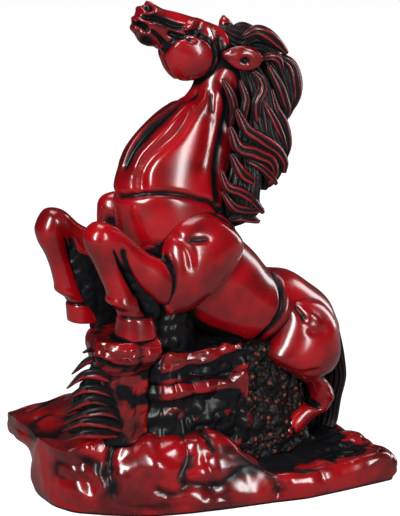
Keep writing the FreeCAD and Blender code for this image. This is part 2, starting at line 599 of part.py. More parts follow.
hoof_pins, hoof_holes = dowels(
    "hoof_pins", "sizes.leg_pin_radius", "sizes.hoof_pin_length",
    [(f"{hind_foot[0]} + {HOOF_PIN_SHARES[0]} * sizes.hind_leg_reach",
      f"{side} * sizes.hind_foot_spread / 2",
      f"{hind_foot[2]} + {HOOF_PIN_SHARES[1]} * sizes.hind_leg_height") for name, side in SIDES],
    HOOF_PIN_TILT)


def holes(name, found):
    """The holes of one piece as one tool."""
    group = doc.addObject("Part::Compound", f"{name}_holes")
    group.Links = found
    return group


# Each casting is its form less what carries it, so that they meet face to face. The tail stays
# whole, its root in a socket of the torso.
legs = list(hind_leg_forms.values())
tail = cut("tail", tail_form, [])
castings = [
    cut("ground_base", ground_form, [holes("ground", rock_holes + hoof_holes)]),
    cut("torso", barrel_form, [tail_form, holes("torso", neck_holes + foreleg_holes + hip_holes)]),
    cut("neck", neck_form, [holes("neck", neck_holes), barrel_form] + shoulder_forms),
    cut("head", head_form, [neck_form]),
    cut("left_ear", left_ear_form, [head_form, neck_form]),
    cut("right_ear", right_ear_form, [head_form, neck_form, forelock_form]),
    cut("forelock", forelock_form, [head_form, neck_form, left_ear_form]),
    cut("mane_crest", crest_form, [head_form, neck_form, left_ear_form, forelock_form]),
    cut("mane_upper", mane_form, [head_form, neck_form, left_ear_form, forelock_form, crest_form]),
    cut("mane_lower", mane_end_form, [neck_form, mane_form, barrel_form] + shoulder_forms),
    cut("rock_block", rock_form, [ground_form, barrel_form, holes("rock", rock_holes)]),
    cut("rock_ledge", ledge_form, [ground_form, rock_form, foreleg_forms["left"]]),
    cut("gravel_mound", mound_form, [ground_form, rock_form, barrel_form] + legs),
    cut("leaf_clump", leaf_form, [ground_form, rock_form, ledge_form]),
]
for count, (name, side) in enumerate(SIDES):
    hind_holes = holes(f"{name}_hind_leg", [hip_holes[count], hoof_holes[count]])
    fore_holes = holes(f"{name}_foreleg", [foreleg_holes[count]])
    castings.append(cut(f"{name}_hind_leg", hind_leg_forms[name],
                        [hind_holes, barrel_form, ground_form]))
    castings.append(cut(f"{name}_foreleg", foreleg_forms[name],
                        [fore_holes, barrel_form, shoulder_forms[count]]))
    castings.append(cut(f"{name}_shoulder", shoulder_forms[count], [barrel_form, fore_holes]))
pieces = castings + [tail, felt_pad, neck_dowel, rock_dowels, foreleg_pins, hip_pins, hoof_pins]

doc.recompute()
for thing in doc.Objects:
    if "Invalid" in thing.State or "Error" in thing.State:
        raise RuntimeError(f"{thing.Name} failed: {thing.State}")
os.makedirs("parts", exist_ok=True)
for piece in pieces:
    if piece.Shape.isNull() or not piece.Shape.isValid():
        raise RuntimeError(f"{piece.Label} has no valid shape")
    print(piece.Label, len(piece.Shape.Solids), [round(solid.Volume, 1) for solid in piece.Shape.Solids])
    piece.Shape.exportStep(f"parts/{piece.Label}.step")
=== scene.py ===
import math

import bpy
import numpy as np
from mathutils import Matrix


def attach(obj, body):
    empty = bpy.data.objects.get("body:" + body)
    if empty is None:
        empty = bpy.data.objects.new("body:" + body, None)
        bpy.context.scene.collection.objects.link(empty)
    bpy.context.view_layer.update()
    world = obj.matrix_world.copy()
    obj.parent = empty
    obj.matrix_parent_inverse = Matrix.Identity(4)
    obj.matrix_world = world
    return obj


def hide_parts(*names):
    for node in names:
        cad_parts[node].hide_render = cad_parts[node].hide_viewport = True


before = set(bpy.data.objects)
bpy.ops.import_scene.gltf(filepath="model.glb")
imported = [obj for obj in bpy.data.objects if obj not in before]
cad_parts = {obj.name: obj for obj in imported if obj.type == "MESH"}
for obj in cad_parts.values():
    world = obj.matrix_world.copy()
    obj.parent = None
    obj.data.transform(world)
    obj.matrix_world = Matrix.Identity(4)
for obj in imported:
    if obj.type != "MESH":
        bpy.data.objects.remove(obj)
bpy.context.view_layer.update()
MM = 0.001

# Camera, floor and lamps: a long lens a little above the figurine; a floor that keeps the shadow
# under a world that looks white and lights dimly; and soft boxes to the left, right and above
# for the long highlights of the lacquer.
AZIMUTH = math.radians(-28)
ELEVATION = math.radians(15)
CAMERA_DISTANCE = 566 * MM
LENS = 100
TARGET = np.array([-5, -6, 95]) * MM
WHITE = (1, 1, 1, 1)
AMBIENT_STRENGTH = 0.03
FLOOR_REACH = 3.0
FLOOR_GREY = (0.22, 0.22, 0.22, 1)
FLOOR_LIFT = 0.975


def placed(name, data):
    """An object for a mesh, a lamp or a camera, linked to the scene."""
    thing = bpy.data.objects.new(name, data)
    bpy.context.scene.collection.objects.link(thing)
    return thing


def fill(tree, node, inputs):
    """Give a node's inputs their values, or link them from the outputs given in their place."""
    for entry, value in inputs.items():
        if isinstance(value, bpy.types.NodeSocket):
            tree.links.new(value, node.inputs[entry])
        else:
            node.inputs[entry].default_value = value


def added(tree, kind, inputs, **settings):
    """The outputs of a new shader node with those inputs and settings."""
    node = tree.nodes.new(kind)
    for name, value in settings.items():
        setattr(node, name, value)
    fill(tree, node, inputs)
    return node.outputs


def painted(name, inputs):
    """A new material, its node tree and its main shader with those inputs."""
    material = bpy.data.materials.new(name)
    material.use_nodes = True
    shader = material.node_tree.nodes["Principled BSDF"]
    fill(material.node_tree, shader, inputs)
    return material, material.node_tree, shader


camera_data = bpy.data.cameras.new("camera")
camera_data.lens = LENS
camera = placed("camera", camera_data)
back = np.array([math.sin(AZIMUTH) * math.cos(ELEVATION), -math.cos(AZIMUTH) * math.cos(ELEVATION),
                 math.sin(ELEVATION)])
camera.location = TARGET + back * CAMERA_DISTANCE
camera.rotation_euler = (math.pi / 2 - ELEVATION, 0, AZIMUTH)
bpy.context.scene.camera = camera
bpy.context.scene.view_settings.view_transform = "Standard"

world = bpy.data.worlds.new("studio")
world.use_nodes = True
bpy.context.scene.world = world
air = world.node_tree
ambient = air.nodes["Background"]
fill(air, ambient, {"Color": WHITE, "Strength": AMBIENT_STRENGTH})
ray = added(air, "ShaderNodeLightPath", {})
seen = added(air, "ShaderNodeMath", {0: ray["Is Camera Ray"], 1: ray["Is Transmission Ray"]},
             operation="MAXIMUM")
backdrop = added(air, "ShaderNodeBackground", {"Color": WHITE, "Strength": 1})
blend = added(air, "ShaderNodeMixShader", {0: seen[0], 1: ambient.outputs[0], 2: backdrop[0]})
fill(air, air.nodes["World Output"], {"Surface": blend[0]})

floor_mesh = bpy.data.meshes.new("floor")
floor_corners = np.array([(-1, -1, 0), (1, -1, 0), (1, 1, 0), (-1, 1, 0)]) * FLOOR_REACH
floor_mesh.from_pydata(floor_corners, [], [(0, 1, 2, 3)])
floor = placed("floor", floor_mesh)
floor_paint, floor_tree, floor_shader = painted("floor_paint", {
    "Base Color": FLOOR_GREY, "Roughness": 0.9, "Specular IOR Level": 0.0})
ray = added(floor_tree, "ShaderNodeLightPath", {})
lift = added(floor_tree, "ShaderNodeMath", {0: ray["Is Camera Ray"], 1: FLOOR_LIFT}, operation="MULTIPLY")
glow = added(floor_tree, "ShaderNodeEmission", {"Strength": lift[0]})
lifted = added(floor_tree, "ShaderNodeAddShader", {0: floor_shader.outputs[0], 1: glow[0]})
fill(floor_tree, floor_tree.nodes["Material Output"], {"Surface": lifted[0]})
floor_mesh.materials.append(floor_paint)


def softbox(name, place, size, watts):
    """A rectangular lamp at a place, turned to the middle of the figurine."""
    lamp = bpy.data.lights.new(name, "AREA")
    lamp.shape = "RECTANGLE"
    lamp.size, lamp.size_y = size
    lamp.energy = watts
    box = placed(name, lamp)
    toward = TARGET - np.array(place)
    box.location = place
    box.rotation_euler = (math.atan2(math.hypot(toward[0], toward[1]), -toward[2]), 0,
                          math.atan2(toward[0], -toward[1]) + math.pi)


softbox("key_lamp", (-0.60, -0.52, 0.50), (0.18, 0.52), watts=8.0)
softbox("front_lamp", (0.20, -0.85, 0.36), (0.12, 0.48), watts=3.6)
softbox("top_lamp", (0.05, 0.05, 0.85), (0.42, 0.42), watts=2.8)
softbox("rim_lamp", (0.75, 0.10, 0.30), (0.22, 0.58), watts=2.2)

# Torso: one resin casting, crimson lacquer over black, its barrel smooth and its flank creased
# where the thigh begins. Neck and thighs are pinned to it. It is made of sections carried along
# the horse's middle.
SPACING = 0.6
CAP_STEPS = 9
FINE_STEPS = 30
LEAST_ROWS = 6
TINY = 1e-9
LATTICE = (32, 32, 32)
LINE_SPACING = 0.35
LINE_REACH = 4
CLOSED_GAP = 1
WASH_SPREAD = 1.15
FACING_GAIN = 3
FACING_START = 0.2
BOTH_SIDES = (-1, 1)
NEAR_SIDE = (-1,)


def flowing(rows, spacing=SPACING):
    """A table of rows carried smoothly through its own rows, column by column by the cubic that
    passes each row with the slope between its neighbours, and set out again evenly."""
    rows = np.asarray(rows, float)
    ends = np.vstack([2 * rows[0] - rows[1], rows, 2 * rows[-1] - rows[-2]])
    place = np.linspace(0, len(rows) - 1, FINE_STEPS * len(rows))
    before = np.minimum(place.astype(int), len(rows) - 2)
    part = (place - before)[:, None]
    a, b, c, d = (ends[before + step] for step in range(4))
    fine = 0.5 * (2 * b + (c - a) * part + (2 * a - 5 * b + 4 * c - d) * part**2
                  + (3 * b - a - 3 * c + d) * part**3)
    width = min(4, fine.shape[1])
    travel = np.linalg.norm(np.diff(fine[:, :width], axis=0), axis=1) / math.sqrt(width / 2)
    travelled = np.concatenate([[0], np.cumsum(travel)])
    wanted = np.linspace(0, travelled[-1], max(LEAST_ROWS, int(travelled[-1] / spacing)))
    return np.stack([np.interp(wanted, travelled, column) for column in fine.T], 1)


def turns(count):
    """That many angles, set out evenly around a full turn."""
    return np.linspace(0, 2 * math.pi, count, endpoint=False)


def sections(rows, around, power=2.0, domes=(0.7, 0.7), spacing=SPACING):
    """Closed sections along rows of front point, back point, place across and half width: each
    is middle plus half the front-to-back line by cosine and half width by sine, both raised to
    2 / power, and each end is closed by a dome of its last section shrunk by sine."""
    rows = flowing(rows, spacing)
    front = np.stack([rows[:, 0], rows[:, 4], rows[:, 1]], 1)
    rear = np.stack([rows[:, 2], rows[:, 4], rows[:, 3]], 1)
    middle, half = (front + rear) / 2, (rear - front) / 2
    across = np.stack([np.zeros(len(rows)), rows[:, 5], np.zeros(len(rows))], 1)
    turn = turns(around)
    swing = [np.sign(wave) * np.abs(wave) ** (2 / power) for wave in (np.cos(turn), np.sin(turn))]
    sweep = np.linspace(0, math.pi / 2, CAP_STEPS + 1)[:-1]
    for end, step, dome in ((0, 1, domes[0]), (-1, -2, domes[1])):
        out = middle[end] - middle[step]
        out /= np.linalg.norm(out) + TINY
        depth = dome * min(np.linalg.norm(half[end]), across[end, 1])
        shrink = np.sin(sweep)[:, None]
        centres = middle[end] + out * (depth * np.cos(sweep))[:, None]
        cap = (centres, half[end] * shrink, across[end] * shrink)
        if end == 0:
            pairs = zip(cap, (middle, half, across))
        else:
            pairs = zip((middle, half, across), (part[::-1] for part in cap))
        middle, half, across = (np.vstack(pair) for pair in pairs)
    return (middle[:, None] + half[:, None] * swing[0][None, :, None]
            + across[:, None] * swing[1][None, :, None])


def outward(grid):
    """Unit normals of a grid of rings: the cross product of the steps along and around it, with
    the sign that points away from the enclosed volume."""
    along = np.gradient(grid, axis=0)
    about = np.roll(grid, -1, 1) - np.roll(grid, 1, 1)
    normal = np.cross(along, about)
    volume = np.sum(normal * (grid - grid.mean((0, 1))))
    normal *= np.sign(volume)
    normal /= np.linalg.norm(normal, axis=-1, keepdims=True) + TINY
    for row, beside in ((0, 1), (-1, -2)):
        tip = normal[beside].mean(0)
        normal[row] = tip / (np.linalg.norm(tip) + TINY)
    return normal


def pushed(grid, push):
    """The grid moved out by that much along its normals."""
    return grid + outward(grid) * push[..., None]


def smooth_step(value, start, end):
    """0 before start, 1 after end, and an even ease between them."""
    part = np.clip((value - start) / (end - start), 0, 1)
    return part * part * (3 - 2 * part)


def blended(values, cell, part):
    """Values of a lattice between the eight corners of each cell, weighted by how far along the
    cell a point lies; past its end the lattice starts again."""
    total = 0
    for corner in np.ndindex(2, 2, 2):
        weight = np.prod(np.where(np.array(corner, bool), part, 1 - part), -1)
        index = (cell + corner) % values.shape
        total = total + weight * values[index[..., 0], index[..., 1], index[..., 2]]
    return total


def rough(points, size, seed):
    """A smooth random field from -1 to 1: random values on a lattice of that spacing, blended
    between its corners by the eased fractions."""
    lattice = np.random.default_rng(seed).uniform(-1, 1, LATTICE)
    cell = np.floor(points / size).astype(int)
    return blended(lattice, cell, smooth_step(points / size - cell, 0, 1))


def tooled(grid, normal, lines, sides=BOTH_SIDES):
    """The push and the blackness that modelling-tool lines give a grid. A line is its push, its
    half width, its blackness and its points in side view; it acts on the faces turned to the
    given sides, as the bell curve of the distance to it, and fades at both ends."""
    push, dark, facing = np.zeros((3,) + grid.shape[:2])
    for side in sides:
        facing = np.maximum(facing, np.clip(side * normal[..., 1] * FACING_GAIN + FACING_START, 0, 1))
    for depth, width, black, points in lines:
        path = flowing(points, LINE_SPACING)
        near = ((np.abs(grid[..., 0] - path[:, 0].mean()) < np.ptp(path[:, 0]) / 2 + LINE_REACH * width)
                & (np.abs(grid[..., 2] - path[:, 1].mean()) < np.ptp(path[:, 1]) / 2 + LINE_REACH * width))
        if not near.any():
            continue
        gap = np.hypot(grid[near][:, None, 0] - path[:, 0], grid[near][:, None, 2] - path[:, 1])
        closest = gap.argmin(1)
        distance = gap.min(1) / width
        weight = facing[near]
        if np.linalg.norm(path[0] - path[-1]) > CLOSED_GAP:
            reach = np.minimum(closest, len(path) - 1 - closest) * LINE_SPACING
            weight = weight * np.clip((reach / width + 0.5) / 2, 0, 1)
        push[near] += depth * np.exp(-distance**2) * weight
        dark[near] = np.maximum(dark[near], black * np.exp(-(distance / WASH_SPREAD) ** 2) * weight)
    return push, dark


def carved(rows, lines, around, sides=BOTH_SIDES, **shape):
    """The sections of a casting with its tool lines pressed in, and the blackness they leave."""
    grid = sections(rows, around, **shape)
    push, dark = tooled(grid, outward(grid), lines, sides)
    return pushed(grid, push), dark


castings = []


def cast(name, grid, material, nodes, dark=None):
    """The mesh of a piece: quads between its rings, triangles at its two tips, smooth faces. The
    grid and blackness of a lacquered piece are kept for the black wash and painted shade at the end."""
    count, around = grid.shape[:2]
    points = np.vstack([grid[0, :1], grid[1:-1].reshape(-1, 3), grid[-1, :1]]) * MM
    ring = 1 + np.arange((count - 2) * around).reshape(count - 2, around)
    beside = np.roll(ring, -1, 1)
    quads = np.stack([ring[:-1], beside[:-1], beside[1:], ring[1:]], -1).reshape(-1, 4)
    tips = np.vstack([np.stack([np.zeros_like(ring[0]), beside[0], ring[0]], 1),
                      np.stack([np.full_like(ring[0], len(points) - 1), ring[-1], beside[-1]], 1)])
    first = points[quads]
    turned = np.cross(first[:, 2] - first[:, 0], first[:, 3] - first[:, 1])
    if np.sum(turned * (first.mean(1) - points.mean(0))) < 0:
        quads, tips = quads[:, ::-1], tips[:, ::-1]
    mesh = bpy.data.meshes.new(name)
    mesh.from_pydata(points, [], quads.tolist() + tips.tolist())
    mesh.polygons.foreach_set("use_smooth", np.ones(len(mesh.polygons), bool))
    mesh.materials.append(material)
    piece = placed(f"{name}_shape", mesh)
    if dark is not None:
        castings.append((piece, grid, dark))
    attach(piece, "root")
    if nodes:
        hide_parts(*nodes)


def ramp(tree, fraction, *stops):
    """The colour output of a ramp between two stops, each a place and a colour."""
    node = tree.nodes.new("ShaderNodeValToRGB")
    for element, (position, colour) in zip(node.color_ramp.elements, stops):
        element.position = position
        element.color = (*colour, 1)
    fill(tree, node, {0: fraction})
    return node.outputs[0]


COAT_ROUGHNESS = 0.19
CLOUD_SCALE = 55
STREAK_SCALE = 420


def lacquer(name, light, deep, black, roughness):
    """Crimson lacquer over black: two reds in soft clouds, and black wherever the point value of black
    wash and painted shade is high, its edge broken by fine noise; black is rougher and has a thinner coat."""
    material, tree, shader = painted(name, {"Coat Roughness": COAT_ROUGHNESS})
    place = added(tree, "ShaderNodeTexCoord", {})["Object"]
    wash_and_shade = added(tree, "ShaderNodeAttribute", {}, attribute_name="wash_and_shade")["Fac"]
    clouds = added(tree, "ShaderNodeTexNoise", {"Vector": place, "Scale": CLOUD_SCALE, "Detail": 3})["Fac"]
    streaks = added(tree, "ShaderNodeTexNoise", {
        "Vector": place, "Scale": STREAK_SCALE, "Detail": 4})["Fac"]
    reds = ramp(tree, clouds, (0.40, deep), (0.60, light))
    streaked = added(tree, "ShaderNodeMath", {0: streaks, 1: 0.5, 2: wash_and_shade}, operation="MULTIPLY_ADD")
    edge = added(tree, "ShaderNodeMapRange", {"Value": streaked[0], "From Min": 0.38, "From Max": 1.08},
                 interpolation_type="SMOOTHSTEP")[0]
    paint = added(tree, "ShaderNodeMix", {0: edge, 6: reds, 7: (*black, 1)}, data_type="RGBA")
    fill(tree, shader, {"Base Color": paint[2]})
    for entry, on_red, on_black in (
            ("Roughness", roughness, 0.36), ("Specular IOR Level", 0.34, 0.10), ("Coat Weight", 0.85, 0.14)):
        level = added(tree, "ShaderNodeMapRange", {"Value": edge, "To Min": on_red, "To Max": on_black})
        fill(tree, shader, {entry: level[0]})
    return material


CRIMSON = (0.33, 0.001, 0.005)
DEEP_CRIMSON = (0.15, 0.001, 0.003)
BLACK = (0.005, 0.005, 0.006)
red_lacquer = lacquer("red_lacquer", CRIMSON, DEEP_CRIMSON, BLACK, roughness=0.24)
TORSO_ROWS = [
    (-33, 104, -29, 112, 0, 6), (-33, 94, -23, 119, 0, 11.5), (-23, 79, -7, 116.5, 0, 15),
    (-13, 70, 8, 106, 0, 17.3), (-1, 62.5, 20, 95.5, 0, 18.3), (12, 57, 28.6, 86, 0, 18),
    (24, 54, 39.6, 83, 0, 16.5), (34, 49.5, 48.3, 77.2, 0, 16), (44, 46, 56.2, 70.6, 0, 15),
    (52, 45, 60.5, 63, 0, 11.5), (58, 47, 63.5, 57.5, 0, 6.5), (61, 50, 63.5, 53, 0, 2.5),
]
TORSO_LINES = [
    (-1.8, 2.0, 0.9, [(-2.0, 113), (-6.2, 105), (-11.2, 100.5), (-17.2, 95.5), (-22, 90.5), (-28, 84)]),
    (-1.8, 1.7, 1.0, [(29, 87), (28.5, 80), (26.5, 72), (22.7, 66), (19.5, 61), (18, 55)]),
    (-0.6, 2.2, 0.0, [(4, 84), (14, 74), (22, 68)]),
]
torso_grid, torso_dark = carved(TORSO_ROWS, TORSO_LINES, around=150)
cast("torso", torso_grid, red_lacquer, ["torso"], torso_dark)

# Shoulders: a rounded resin casting against each side of the chest, polished crimson, with a
# short dent behind the shoulder blade painted black as shade, and a crease where the pinned forearm
# comes out, black from the wash in it and from painted shade along the top of the forearm.
SHOULDER_ROWS = [
    (-3, 114, 7, 107, -12, 3.5), (-9, 116, 10, 100, -13, 7.5), (-19, 113, 5, 91, -14.3, 9.3),
    (-26, 104, -4, 84, -15.5, 9.3), (-29, 94, -15, 78, -16, 7.5), (-28, 85, -22, 77.5, -16, 4),
]
SHOULDER_LINES = [
    # Black of the dent: painted shade. Crease over the forearm: black wash in it and painted shade beside
    # it.
    (-0.9, 1.1, 0.85, [(-19.3, 107.3), (-14.6, 107.1), (-9.4, 107)]),
    (-1.9, 2.6, 1.0, [(-39, 113), (-32.5, 105.5), (-27.5, 99.5), (-26.6, 93.6), (-27.6, 88.8), (-30, 86)]),
    (-0.8, 1.6, 0.0, [(-24, 111), (-19, 104), (-18, 96)]),
]
RIGHT_SHOULDER_ROWS = [
    (-8, 117, 4, 108, 12, 4), (-21.5, 120.5, 6, 100, 13, 8.3), (-37.4, 119.5, 2, 92, 14.3, 9.2),
    (-40, 108, -5, 85, 14.5, 8.8), (-36, 97, -15, 79, 15.5, 7.5), (-31, 87, -22, 78, 16, 4.5),
]
for side_name, rows in (("left", SHOULDER_ROWS), ("right", RIGHT_SHOULDER_ROWS)):
    grid, dark = carved(rows, SHOULDER_LINES, around=110)
    cast(f"{side_name}_shoulder", grid, red_lacquer, [f"{side_name}_shoulder"], dark)

# Neck: one arched resin casting on a steel dowel in the torso. A deep black groove follows its
# front edge, a shallow valley lies behind it, and a black crease like a collar runs where it
# meets the shoulders.
NECK_ROWS = [
    (-33, 97, 7, 100, 0, 14), (-37, 108, 8.5, 108, 0, 16), (-38.6, 120, 10, 116, 0, 15.8),
    (-37.4, 131, 12, 126, 0, 14.3), (-33, 141.5, 15, 136, 0, 12.8), (-25, 150, 17.5, 145, 0, 11.2),
    (-14, 156.5, 18.5, 154, 0, 9.8), (-6, 161, 17, 163, 0, 8.7), (-3, 166, 15, 171, 0, 7.5),
    (1, 172, 13, 176, 0, 5),
]
NECK_LINES = [
    (-3.0, 2.2, 1.0, [(-7, 163), (-14.4, 157.5), (-22, 152), (-28.2, 146.5), (-33.1, 141.3),
                      (-36, 136.6), (-38, 132)]),
    (-1.7, 2.0, 0.15, [(-4, 163), (-11, 153.7), (-17, 146.5), (-23, 142), (-28, 138), (-31.5, 132.6),
                      (-32.5, 124)]),
    (1.2, 2.0, 0.0, [(-9, 158), (-19, 149), (-26, 143), (-31, 138), (-34, 131)]),
    (-0.9, 0.7, 1.0, [(-1.3, 161), (-2.1, 153)]),
    (-0.9, 2.5, 0.0, [(-2.1, 153), (-5, 142), (-9, 130)]),
    (-1.6, 1.2, 0.85, [(-46, 117), (-43, 121), (-38.6, 122.6), (-33.4, 124), (-27.7, 124.7),
                      (-21, 124.2), (-14.2, 122.5), (-9.8, 121), (-4, 118.5), (2, 113)]),
    (-1.0, 2.0, 0.9, [(6, 166), (5, 156), (2, 146), (-1, 136), (-2, 126), (0, 116)]),
]
neck_grid, neck_dark = carved(NECK_ROWS, NECK_LINES, around=170, domes=(0.3, 0.7))
cast("neck", neck_grid, red_lacquer, ["neck"], neck_dark)

# Head: a resin casting set on the neck, held up and forward, its mouth a little open. Ridges of
# crimson run from the nostril to the eye over black hollows, and the cheek is a polished disc.
HEAD_ROWS = [
    (-29.4, 184.6, -29.8, 189.6, 0, 3), (-27.8, 180.6, -27.6, 193, 0, 4.6),
    (-24.6, 178.8, -23.4, 195.0, 0, 5.2), (-20, 177.9, -17.8, 192.5, 0, 5),
    (-17.2, 174.2, -12.8, 191.2, 0, 5.6), (-14.6, 169.3, -7.7, 189.7, 0, 7), (-10, 165.3, -2, 187.8, 0, 8.2),
    (-3, 164.4, 3.5, 186, 0, 8.2), (4.0, 166, 8.5, 183.5, 0, 7.2), (9, 171, 11, 179.5, 0, 4),
]
NOSTRIL = (-25.2, 193.2)
EYE = (-5.6, 183.6)
CHEEK = (-9.4, 174.0)
CHEEK_RADIUS = 8.9


def circle(middle, radius, start=0, end=360):
    """Points on an arc in side view, from one angle to the other, in degrees from the front."""
    angles = np.radians(np.linspace(start, end, 16))
    return [(middle[0] - radius * math.cos(angle), middle[1] + radius * math.sin(angle))
            for angle in angles]


HEAD_LINES = [
    (0.9, 0.7, 0.0, circle(NOSTRIL, 2.1)),
    (-1.5, 1.1, 1.0, [NOSTRIL, (-25.0, 193.3)]),
    (-1.1, 1.0, 1.0, [(-28.7, 190.2), (-24.3, 189.8), (-19.8, 188.6), (-15.2, 186.6), (-10.6, 186)]),
    (-2.4, 0.9, 1.0, [(-33, 188), (-30.5, 187.8), (-28.2, 187), (-26.4, 185.2)]),
    (0.7, 0.7, 0.0, [(-30, 189.8), (-27, 188.2), (-24.5, 187.6), (-21, 188)]),
    (0.6, 0.8, 0.0, [(-31.5, 185.8), (-28.6, 184.5), (-26.5, 183.0)]),
    (-0.9, 0.8, 0.9, [(-25.2, 185.4), (-23.4, 184.0), (-21.0, 181.8), (-18.0, 179.0)]),
    (0.9, 0.7, 0.0, [(-23.0, 187.4), (-19, 186.0), (-15, 184.6), (-11.2, 183.4)]),
    (-1.2, 0.9, 1.0, [(-18.4, 184.0), (-14.5, 182.6), (-11.0, 181.2), (-8.5, 180.4)]),
    (0.6, 0.8, 0.0, [(-23, 182.5), (-20.5, 179), (-18.5, 175)]),
    (-1.7, 2.5, 0.9, [EYE, (-5.4, 183.6)]),
    (1.6, 1.1, 0.0, [EYE, (-5.5, 183.6)]),
    (-0.5, 0.45, 1.0, circle(EYE, 1.25)),
    (1.2, 0.9, 0.0, [(-9.6, 185), (-7.6, 186.8), (-4.2, 187.4), (-1.2, 185.4), (-0.2, 182), (-1.0, 178.8)]),
    (0.6, 0.6, 0.0, [(-9.5, 182.6), (-7.6, 180.9), (-5.0, 180.4)]),
    (-1.2, 1.0, 1.0, circle(CHEEK, CHEEK_RADIUS + 1.0, 75, 265)),
    (-0.4, 0.8, 0.6, circle(CHEEK, CHEEK_RADIUS + 0.9, -95, 60)),
    (-1.4, 2.4, 1.0, [(2.8, 184), (3.2, 179), (4.0, 172), (1.5, 166)]),
    (-0.4, 2.0, 1.0, [(-27, 190.5), (-22, 189), (-17, 187), (-12, 185)]),
    (-0.3, 2.2, 0.95, [(-30, 183.5), (-26, 181), (-22, 178.5)]),
]
head_grid = sections(HEAD_ROWS, around=170, spacing=0.35)
head_normal = outward(head_grid)
head_push, head_dark = tooled(head_grid, head_normal, HEAD_LINES)
cheek_distance = np.hypot(head_grid[..., 0] - CHEEK[0], head_grid[..., 2] - CHEEK[1]) / CHEEK_RADIUS
cheek_facing = np.clip(np.abs(head_normal[..., 1]) * FACING_GAIN, 0, 1)
cheek_disc = np.clip((1 - cheek_distance) * 9, 0, 1) * cheek_facing
head_push += cheek_disc * (0.9 + 0.9 * np.sqrt(np.clip(1 - cheek_distance**2, 0, 1)))
head_dark *= 1 - cheek_disc
cast("head", pushed(head_grid, head_push), red_lacquer, ["head"], head_dark)

# Ears: small resin castings behind the brow. The left one is laid back with a black hollow inside
# its red rim, the right one stands up behind the forelock.
EARS = (
    ("left_ear", [(3.5, 174.0, 4.2, 176.2, -8.6, 1.6), (8, 169.9, 10.0, 178.2, -10.4, 3.3),
                  (14, 168.8, 16.0, 176.8, -11.2, 3.0), (19.2, 171.6, 19.8, 173.4, -11.5, 1.0)],
     [(-2.0, 1.8, 1.0, [(7.5, 172.4), (10.5, 172.6), (13.4, 171.6)]),
      (0.7, 0.7, 0.0, [(4.5, 176), (8.5, 177.4), (13.5, 176.3), (18.5, 173.0)]),
      (0.5, 0.6, 0.0, [(5, 172.6), (8.5, 169.8), (13, 168.6), (18, 171.5)])]),
    ("right_ear", [(13, 174, 20, 176, 6, 3), (10.8, 179.5, 18.8, 181, 7, 3.2),
                   (10.8, 185.2, 15.8, 185.6, 7.5, 2.3), (12.2, 187.6, 13.9, 187.4, 8, 0.9)],
     [(-1.4, 1.0, 1.0, [(12.5, 178), (12.8, 182), (13.4, 185.5)]),
      (-1.0, 0.8, 1.0, [(16.5, 176), (16.3, 181), (15.0, 185)])]),
)
for ear_name, rows, lines in EARS:
    grid, dark = carved(rows, lines, around=90, sides=NEAR_SIDE, spacing=0.3)
    cast(ear_name, grid, red_lacquer, [ear_name], dark)

# Hair of forelock and mane: dark resin masses combed into strands, with long tapering locks
# laid on both sides; only the ridges of the strands show crimson.
HAIR_RED = (0.30, 0.004, 0.008)
HAIR_DEEP_RED = (0.14, 0.003, 0.006)
HAIR_BLACK = (0.008, 0.008, 0.009)
dark_lacquer = lacquer("hair_lacquer", HAIR_RED, HAIR_DEEP_RED, HAIR_BLACK, roughness=0.28)
LEAST_DARK = 0.25


def faded(count, steepness):
    """A share for each row that is 1 along the middle and falls to 0 at both ends."""
    along = np.linspace(0, 1, count)[:, None]
    return np.clip(np.minimum(along, 1 - along) * steepness, 0, 1)


def combed(grid, strands, depth, twist, seed):
    """The grid and blackness of combed hair: waves around the sections whose phase drifts along
    them with a slow random sway, rounded on top and sharp in the valleys."""
    count, around = grid.shape[:2]
    along = np.linspace(0, 1, count)[:, None]
    sway = 1.6 * rough(grid, 14, seed) + 0.5 * rough(grid, 5, seed + 1)
    wave = np.abs(np.sin(0.5 * strands * turns(around) + twist * along + sway))
    push = depth * (np.sqrt(wave) - 0.75) * faded(count, 12)
    return pushed(grid, push), np.clip(1.45 - 0.85 * wave**3, 0, 1)


HAIR = (
    ("forelock", [(6, 180, 9, 185, 0, 4), (10, 176, 14, 184.5, 0, 6), (16, 174, 20, 183, -1, 6),
                  (21, 175, 24, 181, -2, 3)], 13, 0.8, 2.0),
    ("mane_crest", [(15, 173, 15, 180, -1, 4), (20, 170, 24, 180, -2, 8), (23, 163, 33, 170, -3, 9),
                    (25, 156, 37, 156.5, -4, 9), (26, 150, 35.5, 149, -4, 6.5),
                    (29, 147, 33, 146.5, -4, 2.5)], 19, 1.2, 2.5),
    ("mane_upper", [(12, 170, 20, 171, -3, 7), (13, 160, 26, 161, -4, 10), (12, 148, 28, 149, -5, 11.5),
                    (10, 137, 31.5, 138, -6, 12), (12, 129, 30.5, 128, -6, 10), (17, 123, 27, 122.5, -6, 6),
                    (21, 121, 25, 120.5, -6, 2)], 25, 1.2, -4.0),
    ("mane_lower", [(10, 138, 18, 138, -5, 8), (7, 130, 20, 129, -6, 11), (4, 121, 19, 119.5, -6, 12),
                    (3, 114, 19.5, 112, -6, 10), (4, 109, 15, 108, -5, 6), (5, 106.5, 10, 106, -4, 3)],
     23, 1.1, -5.0),
)
for seed, (hair_name, rows, strands, depth, twist) in enumerate(HAIR, start=20):
    grid, dark = combed(sections(rows, around=220), strands, depth, twist, seed)
    cast(hair_name, grid, dark_lacquer, [hair_name], np.maximum(dark, LEAST_DARK))

